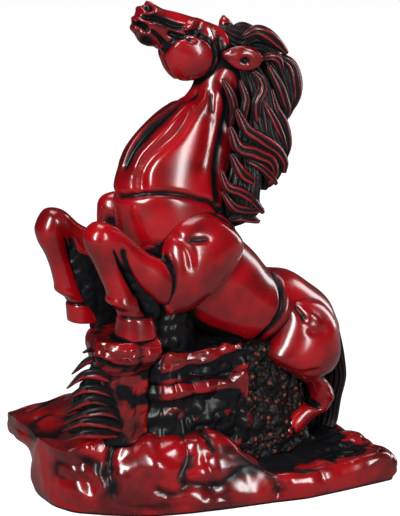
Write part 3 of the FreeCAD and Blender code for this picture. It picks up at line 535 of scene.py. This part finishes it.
# Locks: separate tapering strands of hair over the masses, each with its own ribs, swept down
# and back in long curves as in the photo; the far side has the same ones, turned over.
LOCKS = (
    (2.0, -11, [(11.8, 181.5), (16.4, 183.6), (21.1, 182.0), (26.1, 178.3), (31.0, 174.2)]),
    (1.6, -8, [(13, 178), (18.5, 180.5), (24, 178.6), (29, 174)]),
    (2.6, -10, [(27.6, 173), (33.0, 168.9), (35.2, 161.2), (34.3, 155.3), (31.4, 149.4)]),
    (1.5, -12, [(18.4, 172.6), (22.9, 173.4), (26.3, 171.6), (27.8, 166.0)]),
    (2.0, -13.5, [(14.9, 168.1), (17.6, 165.1), (18.4, 161.1), (15.8, 155.9), (16.5, 149.9), (19.2, 143.8)]),
    (1.9, -13, [(22.1, 169.7), (25.9, 162.1), (28.1, 156.6), (29.6, 152.4), (28.9, 146.5)]),
    (1.7, -14.5, [(22.3, 160.7), (24.1, 153.0), (27.6, 146.6), (29.8, 139.1), (29.3, 133.5)]),
    (1.5, -16, [(17.9, 156.9), (21.6, 149.8), (25.1, 143.4), (28.5, 136.4)]),
    (2.2, -17, [(5.7, 154.2), (9.4, 146.8), (14.2, 143.3), (21.1, 139.1), (26.5, 133.0), (27.2, 128.5)]),
    (2.4, -17, [(2.8, 147.6), (6.0, 140.5), (12.9, 137.5), (19.0, 134.6), (22.2, 130.0), (20.6, 124.8)]),
    (1.9, -17, [(3.4, 137.3), (6.8, 130.8), (11.0, 126.8), (15.2, 123.7)]),
    (1.6, -17, [(9.5, 134.9), (16.3, 131.5), (19.8, 128.2), (23.6, 124.0)]),
    (1.8, -16.5, [(-1.0, 131.2), (1.4, 125.2), (6.7, 122.8), (12.3, 118.6), (18.0, 113.0)]),
    (1.6, -16, [(0.2, 122.8), (4.6, 116.8), (10.9, 114.9), (18.3, 113.9)]),
    (1.5, -13.5, [(3.0, 110.3), (8.0, 111.6), (13.0, 110.6), (18.0, 108.6)]),
    (1.5, -12.5, [(2.0, 166), (5.0, 160), (6.5, 154), (5.5, 148)]),
    (1.5, -13.5, [(9.0, 165), (11.0, 158), (10.0, 151), (12.0, 146)]),
)
LOCK_RIBS = 3
LOCK_FULLNESS = 1.25
STRAP_SPACING = 0.5
STRAP_AROUND = 64
FAR_LOCK_SHIFT = 9
LOCK_SEED = 60


def strap(path, swell, place, thickness):
    """Rows set square to a path in side view, as wide as swell on each side of it."""
    along = np.gradient(path, axis=0)
    along /= np.linalg.norm(along, axis=1, keepdims=True)
    square = np.stack([-along[:, 1], along[:, 0]], 1) * swell[:, None]
    return np.column_stack([path + square, path - square, place, thickness])


def lock(points, width, depth_place, seed):
    """A tapering lock: its width swells from a point to full and back, and ribs run along it."""
    path = flowing(points, STRAP_SPACING)
    share = np.linspace(0, 1, len(path))
    swell = LOCK_FULLNESS * width * np.clip(np.sin(math.pi * (0.06 + 0.88 * share)) ** 0.6, 0, 1)
    place = depth_place + math.copysign(0.9, depth_place) * (np.sin(math.pi * share) - 1)
    rows = strap(path, swell, place, swell * 0.8)
    grid = sections(rows, STRAP_AROUND, domes=(0.8, 0.8), spacing=STRAP_SPACING)
    wave = np.abs(np.cos(LOCK_RIBS * turns(STRAP_AROUND) + 0.7 * rough(grid, 6, seed)))
    push = 0.34 * width * (np.sqrt(wave) - 0.8) * faded(len(grid), 8)
    return pushed(grid, push), np.clip(1.45 - 1.3 * wave**1.6, 0, 1)


for count, (width, place, points) in enumerate(LOCKS):
    for side_name, side in (("left", 1), ("right", -1)):
        across = place if side == 1 else -place - FAR_LOCK_SHIFT
        grid, dark = lock(points, width, across, LOCK_SEED + count)
        cast(f"{side_name}_lock_{count + 1}", grid, dark_lacquer, [], dark)

# Tail: a heavy resin fall of hair from a socket in the croup down to the ground, combed in long
# strands; it is as dark as the mane, with crimson on the ridges only.
TAIL_ROWS = [
    (55, 62, 59, 58, 0, 3), (56, 58, 63.5, 57, 1, 5), (57.5, 50, 66, 51, 2, 6.5), (59, 42, 68.5, 42, 3, 7.5),
    (60, 33, 69.9, 32, 4, 8.5), (58, 24, 67.3, 23, 4, 9), (56.5, 16, 65.5, 14.5, 4, 9.6),
    (55, 12.5, 63.5, 11, 3, 9.4),
]
tail_grid = sections(TAIL_ROWS, around=150, domes=(0.7, 0.1))
tail_grid, tail_dark = combed(tail_grid, strands=17, depth=0.9, twist=0.6, seed=41)
cast("tail", tail_grid, dark_lacquer, ["tail"], tail_dark)

# Forelegs: resin castings pinned to the shoulders and bent at the knee, the left hoof resting on
# the ledge and the right one raised; a knob of hair stands out behind each fetlock, and a groove
# marks the top of each hoof.
LEFT_FORELEG_ROWS = [
    (-24, 80, -18, 89, -14.5, 4.5), (-29, 82, -20, 93.5, -15.5, 6), (-34.5, 87, -26, 99, -16, 6),
    (-41, 94, -33.5, 103.5, -16, 5.3), (-46.5, 100, -39.8, 109.5, -16, 5.2),
    (-48.3, 103, -47.5, 115.5, -16, 5.8), (-48, 104.5, -54, 117.2, -16, 6.2),
    (-47, 105.5, -58.6, 113, -16, 6.2), (-46.5, 104.5, -58, 107.3, -16, 5.7),
    (-45.5, 100.5, -55.2, 102, -16, 5), (-43.3, 95, -52.8, 96.5, -16, 4.7),
    (-39.5, 87.5, -50, 89.5, -16, 5.1), (-37.5, 83, -50, 86, -16, 5.8), (-36, 80.5, -46.2, 82.5, -16, 5.3),
    (-31.8, 77.5, -45.6, 78.3, -16, 6.4), (-30, 70.6, -46.5, 71.0, -16, 7.4),
]
RIGHT_FORELEG_ROWS = [
    (-30, 81, -24, 90, 14.5, 4.5), (-35.5, 84, -27, 96, 15.5, 6), (-42, 89.5, -34, 101.5, 16, 6),
    (-48.5, 95.5, -41, 105.5, 16, 5.3), (-53.5, 99.5, -47.5, 109.5, 16, 5.2),
    (-54.5, 101.5, -54, 115.5, 16, 5.8), (-54, 103, -60.8, 116.3, 16, 6.2),
    (-53.2, 103, -65, 110, 16, 6.2), (-52.8, 101, -64.3, 104.2, 16, 5.7), (-52, 96.5, -61.5, 98.5, 16, 5),
    (-50, 91, -59.5, 93, 16, 4.7), (-47.5, 84.5, -58, 86.5, 16, 5.1), (-46, 80.5, -57.5, 83, 16, 5.7),
    (-43.5, 78, -53.5, 79.5, 16, 5.2), (-40.5, 75, -53, 76, 16, 6), (-38.5, 69.6, -52.5, 70.0, 16, 6.8),
]
FORELEG_LINES = {
    "left": [(-0.7, 0.6, 0.9, [(-29.5, 78.6), (-38, 79.6), (-46.5, 79.9)]),
             (-1.2, 1.0, 1.0, [(-36.5, 86), (-34.5, 82.5), (-34, 79.5)]),
             (0.7, 1.6, 0.0, [(-38, 88), (-40, 85), (-38.5, 82.5)]),
             (-0.9, 1.3, 1.0, [(-45.5, 108), (-44.6, 103), (-42.5, 97), (-39, 90)])],
    "right": [(-0.7, 0.6, 0.9, [(-37, 76.6), (-46, 77.6), (-54, 77.9)]),
              (-0.9, 1.3, 1.0, [(-53, 106), (-51.5, 100), (-49.5, 94)])],
}
for side_name, rows in (("left", LEFT_FORELEG_ROWS), ("right", RIGHT_FORELEG_ROWS)):
    grid, dark = carved(rows, FORELEG_LINES[side_name], around=100, power=2.2, domes=(0.7, 0.12),
                        spacing=0.5)
    cast(f"{side_name}_foreleg", grid, red_lacquer, [f"{side_name}_foreleg"], dark)

# Webs: the resin between each forearm and its cannon, between the chest and the rock and behind
# the hocks is left standing in the mould and made all black: painted shade for these narrow gaps,
# which lie in shadow; its faces are torn by a random field at two sizes.
WEBS = (
    ("right_web", [(-54, 107, -42, 106, 16, 2.5), (-53.5, 99, -33, 97, 15, 3.5),
                   (-52.5, 90, -29, 88, 14, 4.0), (-49.5, 80, -28, 78, 13, 4.0),
                   (-46, 72, -30, 70, 13, 4.0), (-44, 64, -30, 62, 12, 4.0)]),
    ("left_web", [(-48, 107, -42, 104, -15, 2.5), (-45, 98, -34, 94, -15, 3.5), (-41, 90, -28, 86, -15, 3.8),
                  (-37, 83, -27, 80, -15, 3.5), (-35, 78, -28, 74, -14, 3.0)]),
    ("chest_web", [(-43, 56, -2, 54, 0, 15), (-38, 68, -6, 66, 0, 15), (-33, 80, -10, 78, 0, 14),
                   (-30, 90, -14, 90, 0, 12)]),
    ("tail_web", [(33, 50, 54, 50, 0, 9), (36, 38, 57, 38, 1, 9), (36, 26, 57, 25, 2, 9),
                  (30, 13.5, 55, 13, 2, 9)]),
)
for web_name, rows in WEBS:
    grid = sections(rows, around=90, domes=(0.3, 0.3))
    torn = 0.9 * (np.abs(rough(grid, 5, seed=71)) - 0.4 + 0.4 * rough(grid, 2, seed=72))
    # All black: painted shade in the gaps between the parts.
    cast(web_name, pushed(grid, torn), red_lacquer, [], np.ones(grid.shape[:2]))

# Hind legs: resin castings pinned at the hip and through the hoof. Heavy thighs narrow to the
# hock and a cannon laid forward to the hoof, which is flat where it stands on the ground; the
# right leg is the left one turned over.
HIND_LEG_ROWS = [
    (35, 75, 41, 74.5, -9, 3.5), (30.5, 73.5, 49.6, 70.5, -10, 8), (28.5, 67, 54.7, 62, -12, 10.3),
    (24.5, 59, 55.6, 50, -14, 10.5), (21.5, 53, 52.5, 43.5, -15, 9.3), (27, 47, 48.5, 41.5, -15, 8),
    (34.5, 41.5, 47, 41, -15, 6.3), (41, 36.5, 49.5, 38, -15, 5), (43, 31.5, 52.5, 32.5, -15, 5),
    (43.5, 27.8, 50, 25.5, -15, 4.3), (38.5, 28.5, 43.5, 22.3, -15, 3.8), (32.5, 25.3, 37.5, 18.3, -15, 4.2),
    (28.3, 22, 32.5, 15.8, -15, 4), (22.5, 20.3, 31, 12.9, -15, 4.8), (18.5, 16, 28, 12.0, -15, 5.4),
]
HIND_LEG_LINES = [
    (-1.1, 1.2, 0.5, [(31, 74), (34, 70.5), (35.5, 66)]),
    (0.8, 1.8, 0.0, [(36, 71), (40, 68), (43, 66)]),
    (-0.9, 1.6, 0.25, [(35, 64), (40, 62), (46, 62.5)]),
    (-0.7, 1.6, 0.2, [(30, 44), (36, 46), (42, 46)]),
    (-0.8, 0.8, 0.9, [(40.5, 36), (42.0, 32.5), (41.5, 29.5)]),
    (0.8, 1.3, 0.0, [(47, 34), (50, 31.5), (51.5, 29)]),
    (-0.7, 0.6, 0.9, [(27.5, 24.5), (31.5, 20.5), (32.5, 15.5)]),
    (-0.6, 0.5, 0.7, [(21.5, 22), (27.5, 17.0), (29.5, 12)]),
]
GROUND_TOP = 12.0
for side_name, side in (("left", 1), ("right", -1)):
    rows = [row[:4] + (side * row[4], row[5]) for row in HIND_LEG_ROWS]
    grid, dark = carved(rows, HIND_LEG_LINES, around=120, power=2.1, domes=(0.5, 0.5), spacing=0.5)
    grid[..., 2] = np.maximum(grid[..., 2], GROUND_TOP)
    cast(f"{side_name}_hind_leg", grid, red_lacquer, [f"{side_name}_hind_leg"], dark)

# Ground: an irregular slab of resin rock with a bulging rim, raised to a hill at the left whose
# broken face carries a boulder and a black crevice; pitted at the right, lacquered mottled red.
ROCK_RED = (0.30, 0.002, 0.005)
ROCK_DEEP_RED = (0.09, 0.002, 0.003)
rock_lacquer = lacquer("rock_lacquer", ROCK_RED, ROCK_DEEP_RED, BLACK, roughness=0.20)
GROUND_OUTLINE = [
    (0.98, -1.0), (0.64, -1.0), (0.36, -0.99), (0.13, -0.91), (-0.12, -0.84), (-0.35, -0.76), (-0.57, -0.65),
    (-0.76, -0.46), (-0.93, -0.25), (-1.0, -0.03), (-1.02, 0.28), (-1.0, 0.50), (-1.04, 1.03),
    (-0.51, 1.0), (0, 1.0), (0.51, 1.0),
    (0.85, 0.80), (0.94, 0.24), (1.0, -0.45),
]
GROUND_SIZE = (69.0, 43.4)


def rim(shares, size, around, softness):
    """A closed outline set out evenly along its straight sides, its corners rounded by a moving
    average over that many neighbours."""
    corners = np.array(shares + shares[:1]) * size
    travel = np.concatenate([[0], np.cumsum(np.linalg.norm(np.diff(corners, axis=0), axis=1))])
    wanted = np.linspace(0, travel[-1], around, endpoint=False)
    points = np.stack([np.interp(wanted, travel, corners[:, axis]) for axis in (0, 1)], 1)
    steps = range(-softness, softness + 1)
    return sum(np.roll(points, step, 0) for step in steps) / len(steps)


def broken(points, size, seed):
    """Broken rock: two ridged random fields whose creases make flat-looking facets."""
    return (np.abs(rough(points, size, seed)) * 1.6 - 0.5
            + 0.5 * (np.abs(rough(points, size * 0.45, seed + 1)) * 1.6 - 0.5))


HILL_RISE = 18
HILL_FALL = 0.26


def hill_height(x):
    """The height of the ground's top at a place along it: flat at the right, then up to the hill
    and down a little again to the left end."""
    return GROUND_TOP + HILL_RISE * smooth_step(-x, -14, 12) * (1 - HILL_FALL * smooth_step(-x, 44, 68))


HOLLOW_TOP = 1.3
FOOT_HEIGHT = 0.2
BULGE_TOP = 6.2
BULGE_SCALE = 0.985
UNDER_RINGS, BULGE_RINGS, FACE_RINGS, TOP_RINGS = 40, 11, 43, 89
ground_rim = rim(GROUND_OUTLINE, GROUND_SIZE, around=420, softness=3)
ground_left = smooth_step(-ground_rim[:, 0], -12, 16)
ground_front = smooth_step(-ground_rim[:, 1], -8, 14)
ground_end = 1 - smooth_step(-ground_rim[:, 0], 50, 66)
ground_plateau = (0.92 - 0.30 * ground_left * ground_front * ground_end
                  + 0.06 * ground_left * (1 - ground_end))
ground_lean = 0.15 * smooth_step(-ground_rim[:, 0], 44, 62) * smooth_step(ground_rim[:, 1], 17, 44)
under = np.linspace(0, BULGE_SCALE, UNDER_RINGS)[:, None]
bulge = np.linspace(0, 1, BULGE_RINGS + 1)[1:, None]
bulge_scale = BULGE_SCALE + (1 - BULGE_SCALE) * np.sin(bulge * math.pi / 2) - ground_lean
face = np.linspace(0, 1, FACE_RINGS + 1)[1:, None]
face_scale = 1 - (1 - ground_plateau) * (face**1.25) - ground_lean * (1 - smooth_step(face, 0, 0.45))
top = np.linspace(1, 0, TOP_RINGS + 1)[1:, None]
scales = np.vstack([under * (1 - ground_lean), bulge_scale, face_scale, top * ground_plateau])
ground_x, ground_y = scales * ground_rim[:, 0], scales * ground_rim[:, 1]
face_top, flat_top = np.split(hill_height(ground_x)[UNDER_RINGS + BULGE_RINGS:], [FACE_RINGS])
all_around = np.ones(len(ground_rim))
heights = np.vstack([
    (HOLLOW_TOP - (HOLLOW_TOP - FOOT_HEIGHT) * smooth_step(under, 0.945, 0.965)) * all_around,
    (FOOT_HEIGHT + (BULGE_TOP - FOOT_HEIGHT) * bulge) * all_around,
    BULGE_TOP + (face_top - BULGE_TOP) * np.sin(face * math.pi / 2) ** 0.8,
    flat_top,
])
ground_grid = np.stack([ground_x, ground_y, heights], -1)
ground_normal = outward(ground_grid)
GROUND_LINES = [
    (2.6, 6.0, 0.0, [(-44, 17), (-35, 21), (-27, 16)]),
    (-2.6, 1.5, 1.0, [(-50.5, 15.5), (-50, 22), (-47, 27.5), (-42, 30)]),
    (-1.6, 2.4, 0.35, [(-63, 29), (-60, 19), (-57, 8)]),
    (1.4, 2.2, 0.0, [(-58, 30), (-55, 20), (-53, 8)]),
    (-1.0, 2.2, 0.3, [(-16, 24), (-14, 14), (-17, 4)]),
    (-0.8, 1.8, 0.5, [(12, 11), (14, 6), (11, 2)]),
    (-1.6, 2.6, 0.8, [(-62, 24), (-55, 20), (-51, 13), (-52, 6)]),
    (-1.2, 2.0, 0.7, [(-38, 13), (-30, 9), (-22, 12), (-12, 9)]),
]
ground_push, ground_dark = tooled(ground_grid, ground_normal, GROUND_LINES, NEAR_SIDE)
sunk = smooth_step(ground_grid[..., 2], 1.0, 4.5)
ground_push += sunk * (2.0 * broken(ground_grid, 19, seed=3) + 0.15 * rough(ground_grid, 4.5, seed=9))
pits = smooth_step(rough(ground_grid * np.array([1, 1, 0.3]), 2.0, seed=15), 0.25, 0.6)
pitted = pits * smooth_step(ground_grid[..., 0], 34, 46) * smooth_step(ground_normal[..., 2], 0.5, 0.9)
ground_push -= 0.8 * pitted
ground_dark = np.maximum.reduce([
    ground_dark, 0.8 * pitted, 0.75 * smooth_step(-broken(ground_grid, 19, seed=3), 0.12, 0.6) * sunk,
    0.6 * smooth_step(rough(ground_grid, 9, seed=7), 0.5, 1.1) * sunk,
    1 - smooth_step(ground_grid[..., 2], 0.4, 1.6)])
GROUND_REACH = (69.8, 43.6)
LOWEST = 0.1
ground_grid = pushed(ground_grid, ground_push)
ground_grid[..., :2] = np.clip(ground_grid[..., :2], np.negative(GROUND_REACH), GROUND_REACH)
ground_grid[..., 2] = np.maximum(ground_grid[..., 2], LOWEST)
cast("ground", ground_grid, rock_lacquer, ["ground_base"], ground_dark)

# Rock block and ledge: layered resin rock under the chest, doweled to the ground, with a thick
# upper slab, and a lipped ledge that carries the left fore hoof; black between the layers.


def piled(size, middle, layers, around, softness=2, spacing=SPACING):
    """A solid of outlines piled up: each layer is an outline, a scale and a height; between
    layers everything goes straight, and the first and last layers close to a point."""
    stack = np.array([
        np.column_stack([rim(shares, size, around, softness) * scale + middle, np.full(around, height)])
        for shares, scale, height in layers])
    travel = np.linalg.norm(np.diff(stack, axis=0), axis=2).mean(1)
    travelled = np.concatenate([[0], np.cumsum(travel)])
    evenly = np.linspace(0, travelled[-1], int(travelled[-1] / spacing))
    wanted = np.unique(np.concatenate([evenly, travelled]))
    index = np.clip(np.searchsorted(travelled, wanted, side="right") - 1, 0, len(layers) - 2)
    part = ((wanted - travelled[index]) / travel[index])[:, None, None]
    return stack[index] * (1 - part) + stack[index + 1] * part


ROCK_FOOT = [(-1.0, -0.60), (-0.75, -0.95), (0.15, -1.0), (0.80, -0.92), (1.0, -0.35), (1.0, 0.65),
             (0.35, 1.0), (-0.80, 0.90)]
ROCK_TOP = [(-0.95, -0.55), (-0.70, -0.90), (0.05, -0.96), (0.70, -0.86), (0.90, -0.30), (0.90, 0.55),
            (0.25, 0.85), (-0.70, 0.75)]
rock_grid = piled((27, 21), (-10, 0), [
    (ROCK_FOOT, 0.0, 12.5), (ROCK_FOOT, 1.0, 12.5), (ROCK_FOOT, 0.97, 30), (ROCK_FOOT, 0.93, 46),
    (ROCK_FOOT, 0.88, 49.5), (ROCK_TOP, 1.02, 51.5), (ROCK_TOP, 1.0, 58.5), (ROCK_TOP, 0.93, 61),
    (ROCK_TOP, 0.0, 61.5)], around=300)
rock_normal = outward(rock_grid)
layered = rock_grid * np.array([0.12, 0.12, 1.0])
layered[..., 2] += rough(rock_grid, 14, seed=5) * 2.5
strata = rough(layered, 4.2, seed=31) + 0.7 * rough(rock_grid, 8, seed=32)
rock_push = 0.8 * strata + 1.4 * broken(rock_grid, 9, seed=33)
rock_sides = 1 - smooth_step(np.abs(rock_normal[..., 2]), 0.6, 0.9)
rock_foot = 1 - smooth_step(rock_grid[..., 2], 34, 42)
rock_roof = smooth_step(rock_normal[..., 2], 0.5, 0.9)
rock_dark = np.maximum.reduce([
    smooth_step(-strata, -0.15, 0.25) * rock_sides,
    smooth_step(rough(rock_grid, 5, seed=35), -0.6, -0.1) * rock_foot,
    rock_roof * smooth_step(rough(rock_grid, 6, seed=36), -0.3, 0.2),
    smooth_step(-rock_grid[..., 0], 24, 32)])
cast("rock", pushed(rock_grid, rock_push), rock_lacquer, ["rock_block"], rock_dark)

LEDGE_FOOT = [(-0.50, -0.40), (0.0, -0.60), (0.62, -0.45), (0.75, 0.20), (0.30, 0.60), (-0.50, 0.50)]
LEDGE_LIP = [(-0.86, -0.55), (-0.10, -1.0), (0.85, -0.85), (1.0, 0.20), (0.40, 0.90), (-0.62, 0.60)]
ledge_grid = piled((15.5, 16.5), (-43, -9), [
    (LEDGE_FOOT, 0.0, 28), (LEDGE_FOOT, 1.0, 28), (LEDGE_FOOT, 1.05, 56), (LEDGE_LIP, 0.95, 62.5),
    (LEDGE_LIP, 1.0, 65), (LEDGE_LIP, 0.98, 68), (LEDGE_LIP, 0.85, 70.6), (LEDGE_LIP, 0.0, 70.9)],
    around=220, softness=5)
ledge_normal = outward(ledge_grid)
ledge_push = 0.5 * broken(ledge_grid, 7, seed=43) + 0.3 * rough(ledge_grid, 2.4, seed=44)
ledge_push *= 1 - smooth_step(ledge_normal[..., 2], 0.8, 0.95)
LEDGE_LINES = [
    (-1.0, 1.2, 1.0, [(-57, 66), (-54, 63.5), (-48, 61), (-42, 60)]),
    (0.8, 1.0, 0.0, [(-58, 70), (-55, 67), (-49, 64), (-42, 63)]),
]
ledge_tool, ledge_dark = tooled(ledge_grid, ledge_normal, LEDGE_LINES, NEAR_SIDE)
# Random black patches on the ledge, more of them below its lip.
ledge_under = 1 - smooth_step(ledge_grid[..., 2], 57, 63)
ledge_patch_field = rough(ledge_grid, 5, seed=46) + 0.45 * ledge_under
ledge_dark = np.maximum(ledge_dark, smooth_step(ledge_patch_field, 0.1, 0.9))
ledge_grid = pushed(ledge_grid, ledge_push + ledge_tool)
cast("ledge", ledge_grid, rock_lacquer, ["rock_ledge"], ledge_dark)

# Gravel mound: dark resin scree under the belly and between the hind legs, black with small
# rusty stones standing out of it; its black is its paint and also painted shade under the belly.
RUSTY = (0.20, 0.035, 0.015)
SCREE_BLACK_AND_SHADE = (0.006, 0.005, 0.005)
STONE_SCALE = 330
gravel_paint, gravel_tree, gravel_shader = painted("gravel_paint", {
    "Roughness": 0.42, "Specular IOR Level": 0.16})
gravel_place = added(gravel_tree, "ShaderNodeTexCoord", {})["Object"]
stones = added(gravel_tree, "ShaderNodeTexVoronoi", {
    "Vector": gravel_place, "Scale": STONE_SCALE})["Distance"]
# The black between the stones is the scree's paint and painted shade under the belly together.
fill(gravel_tree, gravel_shader, {"Base Color": ramp(gravel_tree, stones, (0.12, RUSTY), (0.30, SCREE_BLACK_AND_SHADE))})
MOUND_FOOT = [(-0.95, -1.0), (0.0, -1.0), (0.85, -0.60), (1.2, 0.50), (0.30, 1.0), (-0.95, 0.95)]
MOUND_TOP = [(-0.80, -0.75), (-0.10, -0.70), (0.60, -0.50), (0.60, 0.42), (-0.10, 0.68), (-0.80, 0.70)]
mound_grid = piled((21, 21), (26, 0), [
    (MOUND_FOOT, 0.0, GROUND_TOP), (MOUND_FOOT, 1.0, GROUND_TOP), (MOUND_TOP, 1.0, 57.5),
    (MOUND_TOP, 0.0, 58.5)], around=300, softness=14)
mound_push = (1.2 * broken(mound_grid, 6, seed=53) + 0.9 * np.abs(rough(mound_grid, 1.7, seed=54))
              + 0.5 * rough(mound_grid, 0.9, seed=55))
mound_grid = pushed(mound_grid, mound_push)
cast("mound", mound_grid, gravel_paint, ["gravel_mound"])

# Leaf clump: broad resin leaves swept forward from the rock in arching layers over a dark core,
# black beneath with crimson edges.
LEAF_FOOT = [(-0.50, -0.35), (0, -0.90), (0.90, -0.90), (1.0, 0.30), (0.30, 1.0), (-0.60, 0.70)]
LEAF_TOP = [(-0.20, -0.60), (0.25, -0.95), (0.80, -0.90), (0.90, -0.10), (0.50, 0.15), (0.05, 0)]
leaf_core = piled((13.5, 12.5), (-49.5, -0.5), [
    (LEAF_FOOT, 0.0, 26), (LEAF_FOOT, 1.0, 26), (LEAF_FOOT, 0.95, 40), (LEAF_TOP, 0.85, 59),
    (LEAF_TOP, 0.0, 60)], around=200, softness=10)
leaf_core = pushed(leaf_core, 1.2 * broken(leaf_core, 6, seed=63))
cast("leaf_core", leaf_core, dark_lacquer, ["leaf_clump"], np.ones(leaf_core.shape[:2]))
LEAVES = (
    (2.3, -15.5, [(-61.3, 61.5), (-54, 64.0), (-48.7, 62.4), (-42.4, 56.2), (-38.6, 46.5)]),
    (2.4, -16.5, [(-66.8, 54.0), (-60.5, 58.4), (-54.0, 57.8), (-47.0, 53.4), (-41.0, 46.0)]),
    (2.2, -17.3, [(-68.2, 50.0), (-60.3, 53.0), (-53.5, 51.4), (-47.0, 47.5), (-40.5, 40.5)]),
    (2.2, -17.8, [(-70.2, 44.8), (-59.3, 48.5), (-53, 47.0), (-46.0, 42.5), (-40.0, 36.5)]),
    (2.3, -18.4, [(-69.0, 41.0), (-60.5, 43.4), (-51.5, 42.8), (-45.2, 38.5), (-39.5, 33.5)]),
    (2.2, -19.0, [(-70.2, 38.5), (-62.0, 40.6), (-53.5, 38.6), (-46.0, 35.0), (-40.5, 31.5)]),
    (2.0, -19.4, [(-70.5, 34.5), (-62.0, 36.0), (-52.5, 34.0), (-45.0, 31.8)]),
    (2.0, -13.0, [(-58.5, 66.0), (-53.0, 67.0), (-47.0, 64.5), (-43.0, 60.0)]),
)
FAR_LEAF_ACROSS = 14
FAR_LEAF_BACK = 8
LEAF_UNDERSIDE = np.clip(0.35 - np.cos(turns(STRAP_AROUND)), 0, 1)
for count, (width, place, points) in enumerate(LEAVES):
    vein = (-0.6, 0.7, 0.8, points[1:])
    far_place = place + FAR_LEAF_ACROSS
    for side_name, across, shift in (("left", place, 0), ("right", far_place, FAR_LEAF_BACK)):
        path = flowing(points, STRAP_SPACING) + (shift, 0)
        share = np.linspace(0, 1, len(path))
        swell = width * np.sin(math.pi * (0.03 + 0.80 * share)) ** 0.8
        depth = across + 5.0 * (share - 0.5) ** 2 + 1.2 * share
        rows = strap(path, swell, depth, 0.30 * swell + 0.25)
        grid, dark = carved(rows, [vein], STRAP_AROUND, power=1.5, domes=(0.5, 0.5), spacing=STRAP_SPACING)
        dark = np.maximum(dark, LEAF_UNDERSIDE)
        cast(f"{side_name}_leaf_{count + 1}", grid, red_lacquer, [], dark)

# Felt: a black sheet glued under the slab, with the slab's own outline a little inside its edge;
# matt and without lacquer.
FELT_BLACK = (0.015, 0.015, 0.016, 1)
FELT_SIZE = (60.0, 37.5)
FELT_THICKNESS = 1.2
felt_paint = painted("black_felt", {
    "Base Color": FELT_BLACK, "Roughness": 0.95, "Specular IOR Level": 0.15})[0]
felt_grid = piled(FELT_SIZE, (0, 0), [
    (GROUND_OUTLINE, 0.0, 0.0), (GROUND_OUTLINE, 1.0, 0.0), (GROUND_OUTLINE, 1.0, FELT_THICKNESS),
    (GROUND_OUTLINE, 0.0, FELT_THICKNESS)], around=240, softness=5, spacing=1.5)
cast("felt_sheet", felt_grid, felt_paint, ["felt_pad"])

# Dowels and pins: plain steel rods hidden inside the castings. The frame's own bodies show them,
# with bright steel in place of their material.
STEEL_GREY = (0.55, 0.56, 0.58, 1)
steel = painted("steel", {"Base Color": STEEL_GREY, "Metallic": 1.0, "Roughness": 0.3})[0]
for rod_name in ("neck_dowel", "rock_dowels", "foreleg_pins", "hip_pins", "hoof_pins"):
    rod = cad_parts[rod_name]
    rod.data.materials.clear()
    rod.data.materials.append(steel)

# Black wash and painted shade: the maker rubs black into every recess before the clear coat. How
# deep a point lies is read from how full the space around it is, at three sizes; the broadest one is
# painted shade under the belly and between the parts, and counts most on faces that look down.
CELL = 0.9
LOW = np.array([-72.0, -46.0, -3.0])
CELLS = np.array([160, 104, 224])
INNER_SHARES = np.linspace(0.05, 0.97, 24)
PROBE_LIFT = 1.1
LAST_PLACE = CELLS - 2.001
FINE_SIZE, WIDE_SIZE, BROAD_SIZE = 1.3, 3.2, 7.5
filled = np.zeros(CELLS, np.float32)
for piece, grid, dark in castings:
    middle = grid.mean(1, keepdims=True)
    for share in INNER_SHARES:
        index = np.round((middle + (grid[:, ::2] - middle) * share - LOW) / CELL).astype(int)
        index = np.clip(index, 0, CELLS - 1).reshape(-1, 3)
        filled[index[:, 0], index[:, 1], index[:, 2]] = 1
spectrum = np.fft.rfftn(filled)
waves = np.meshgrid(np.fft.fftfreq(CELLS[0]), np.fft.fftfreq(CELLS[1]), np.fft.rfftfreq(CELLS[2]),
                    indexing="ij", sparse=True)
squared = waves[0] ** 2 + waves[1] ** 2 + waves[2] ** 2


def fullness(size):
    """How full the space is around each cell, by the bell curve of that size, in millimetres."""
    bell = np.exp(-2 * (math.pi * size / CELL) ** 2 * squared)
    return np.fft.irfftn(spectrum * bell, s=tuple(CELLS))


def sampled(field, points):
    """A field's value at points, straight between the cells around each."""
    place = np.clip((points - LOW) / CELL, 0, LAST_PLACE)
    cell = place.astype(int)
    return blended(field, cell, place - cell)


fine_full, wide_full, broad_full = fullness(FINE_SIZE), fullness(WIDE_SIZE), fullness(BROAD_SIZE)
for piece, grid, dark in castings:
    probe = grid + outward(grid) * PROBE_LIFT
    # The broadest fullness, strongest on faces that look down, is painted shade, not black wash.
    below = smooth_step(-outward(grid)[..., 2], -0.1, 0.7)
    wash_and_shade = np.maximum.reduce([
        dark, smooth_step(sampled(fine_full, probe), 0.27, 0.44),
        smooth_step(sampled(wide_full, probe), 0.45, 0.60),
        smooth_step(sampled(broad_full, probe), 0.44, 0.58) * (0.3 + 0.7 * below)])
    wash_and_shade = np.clip(wash_and_shade, 0, 1)
    values = np.concatenate([wash_and_shade[0, :1], wash_and_shade[1:-1].ravel(), wash_and_shade[-1, :1]]).astype(np.float32)
    layer = piece.data.attributes.new("wash_and_shade", "FLOAT", "POINT")
    layer.data.foreach_set("value", values)
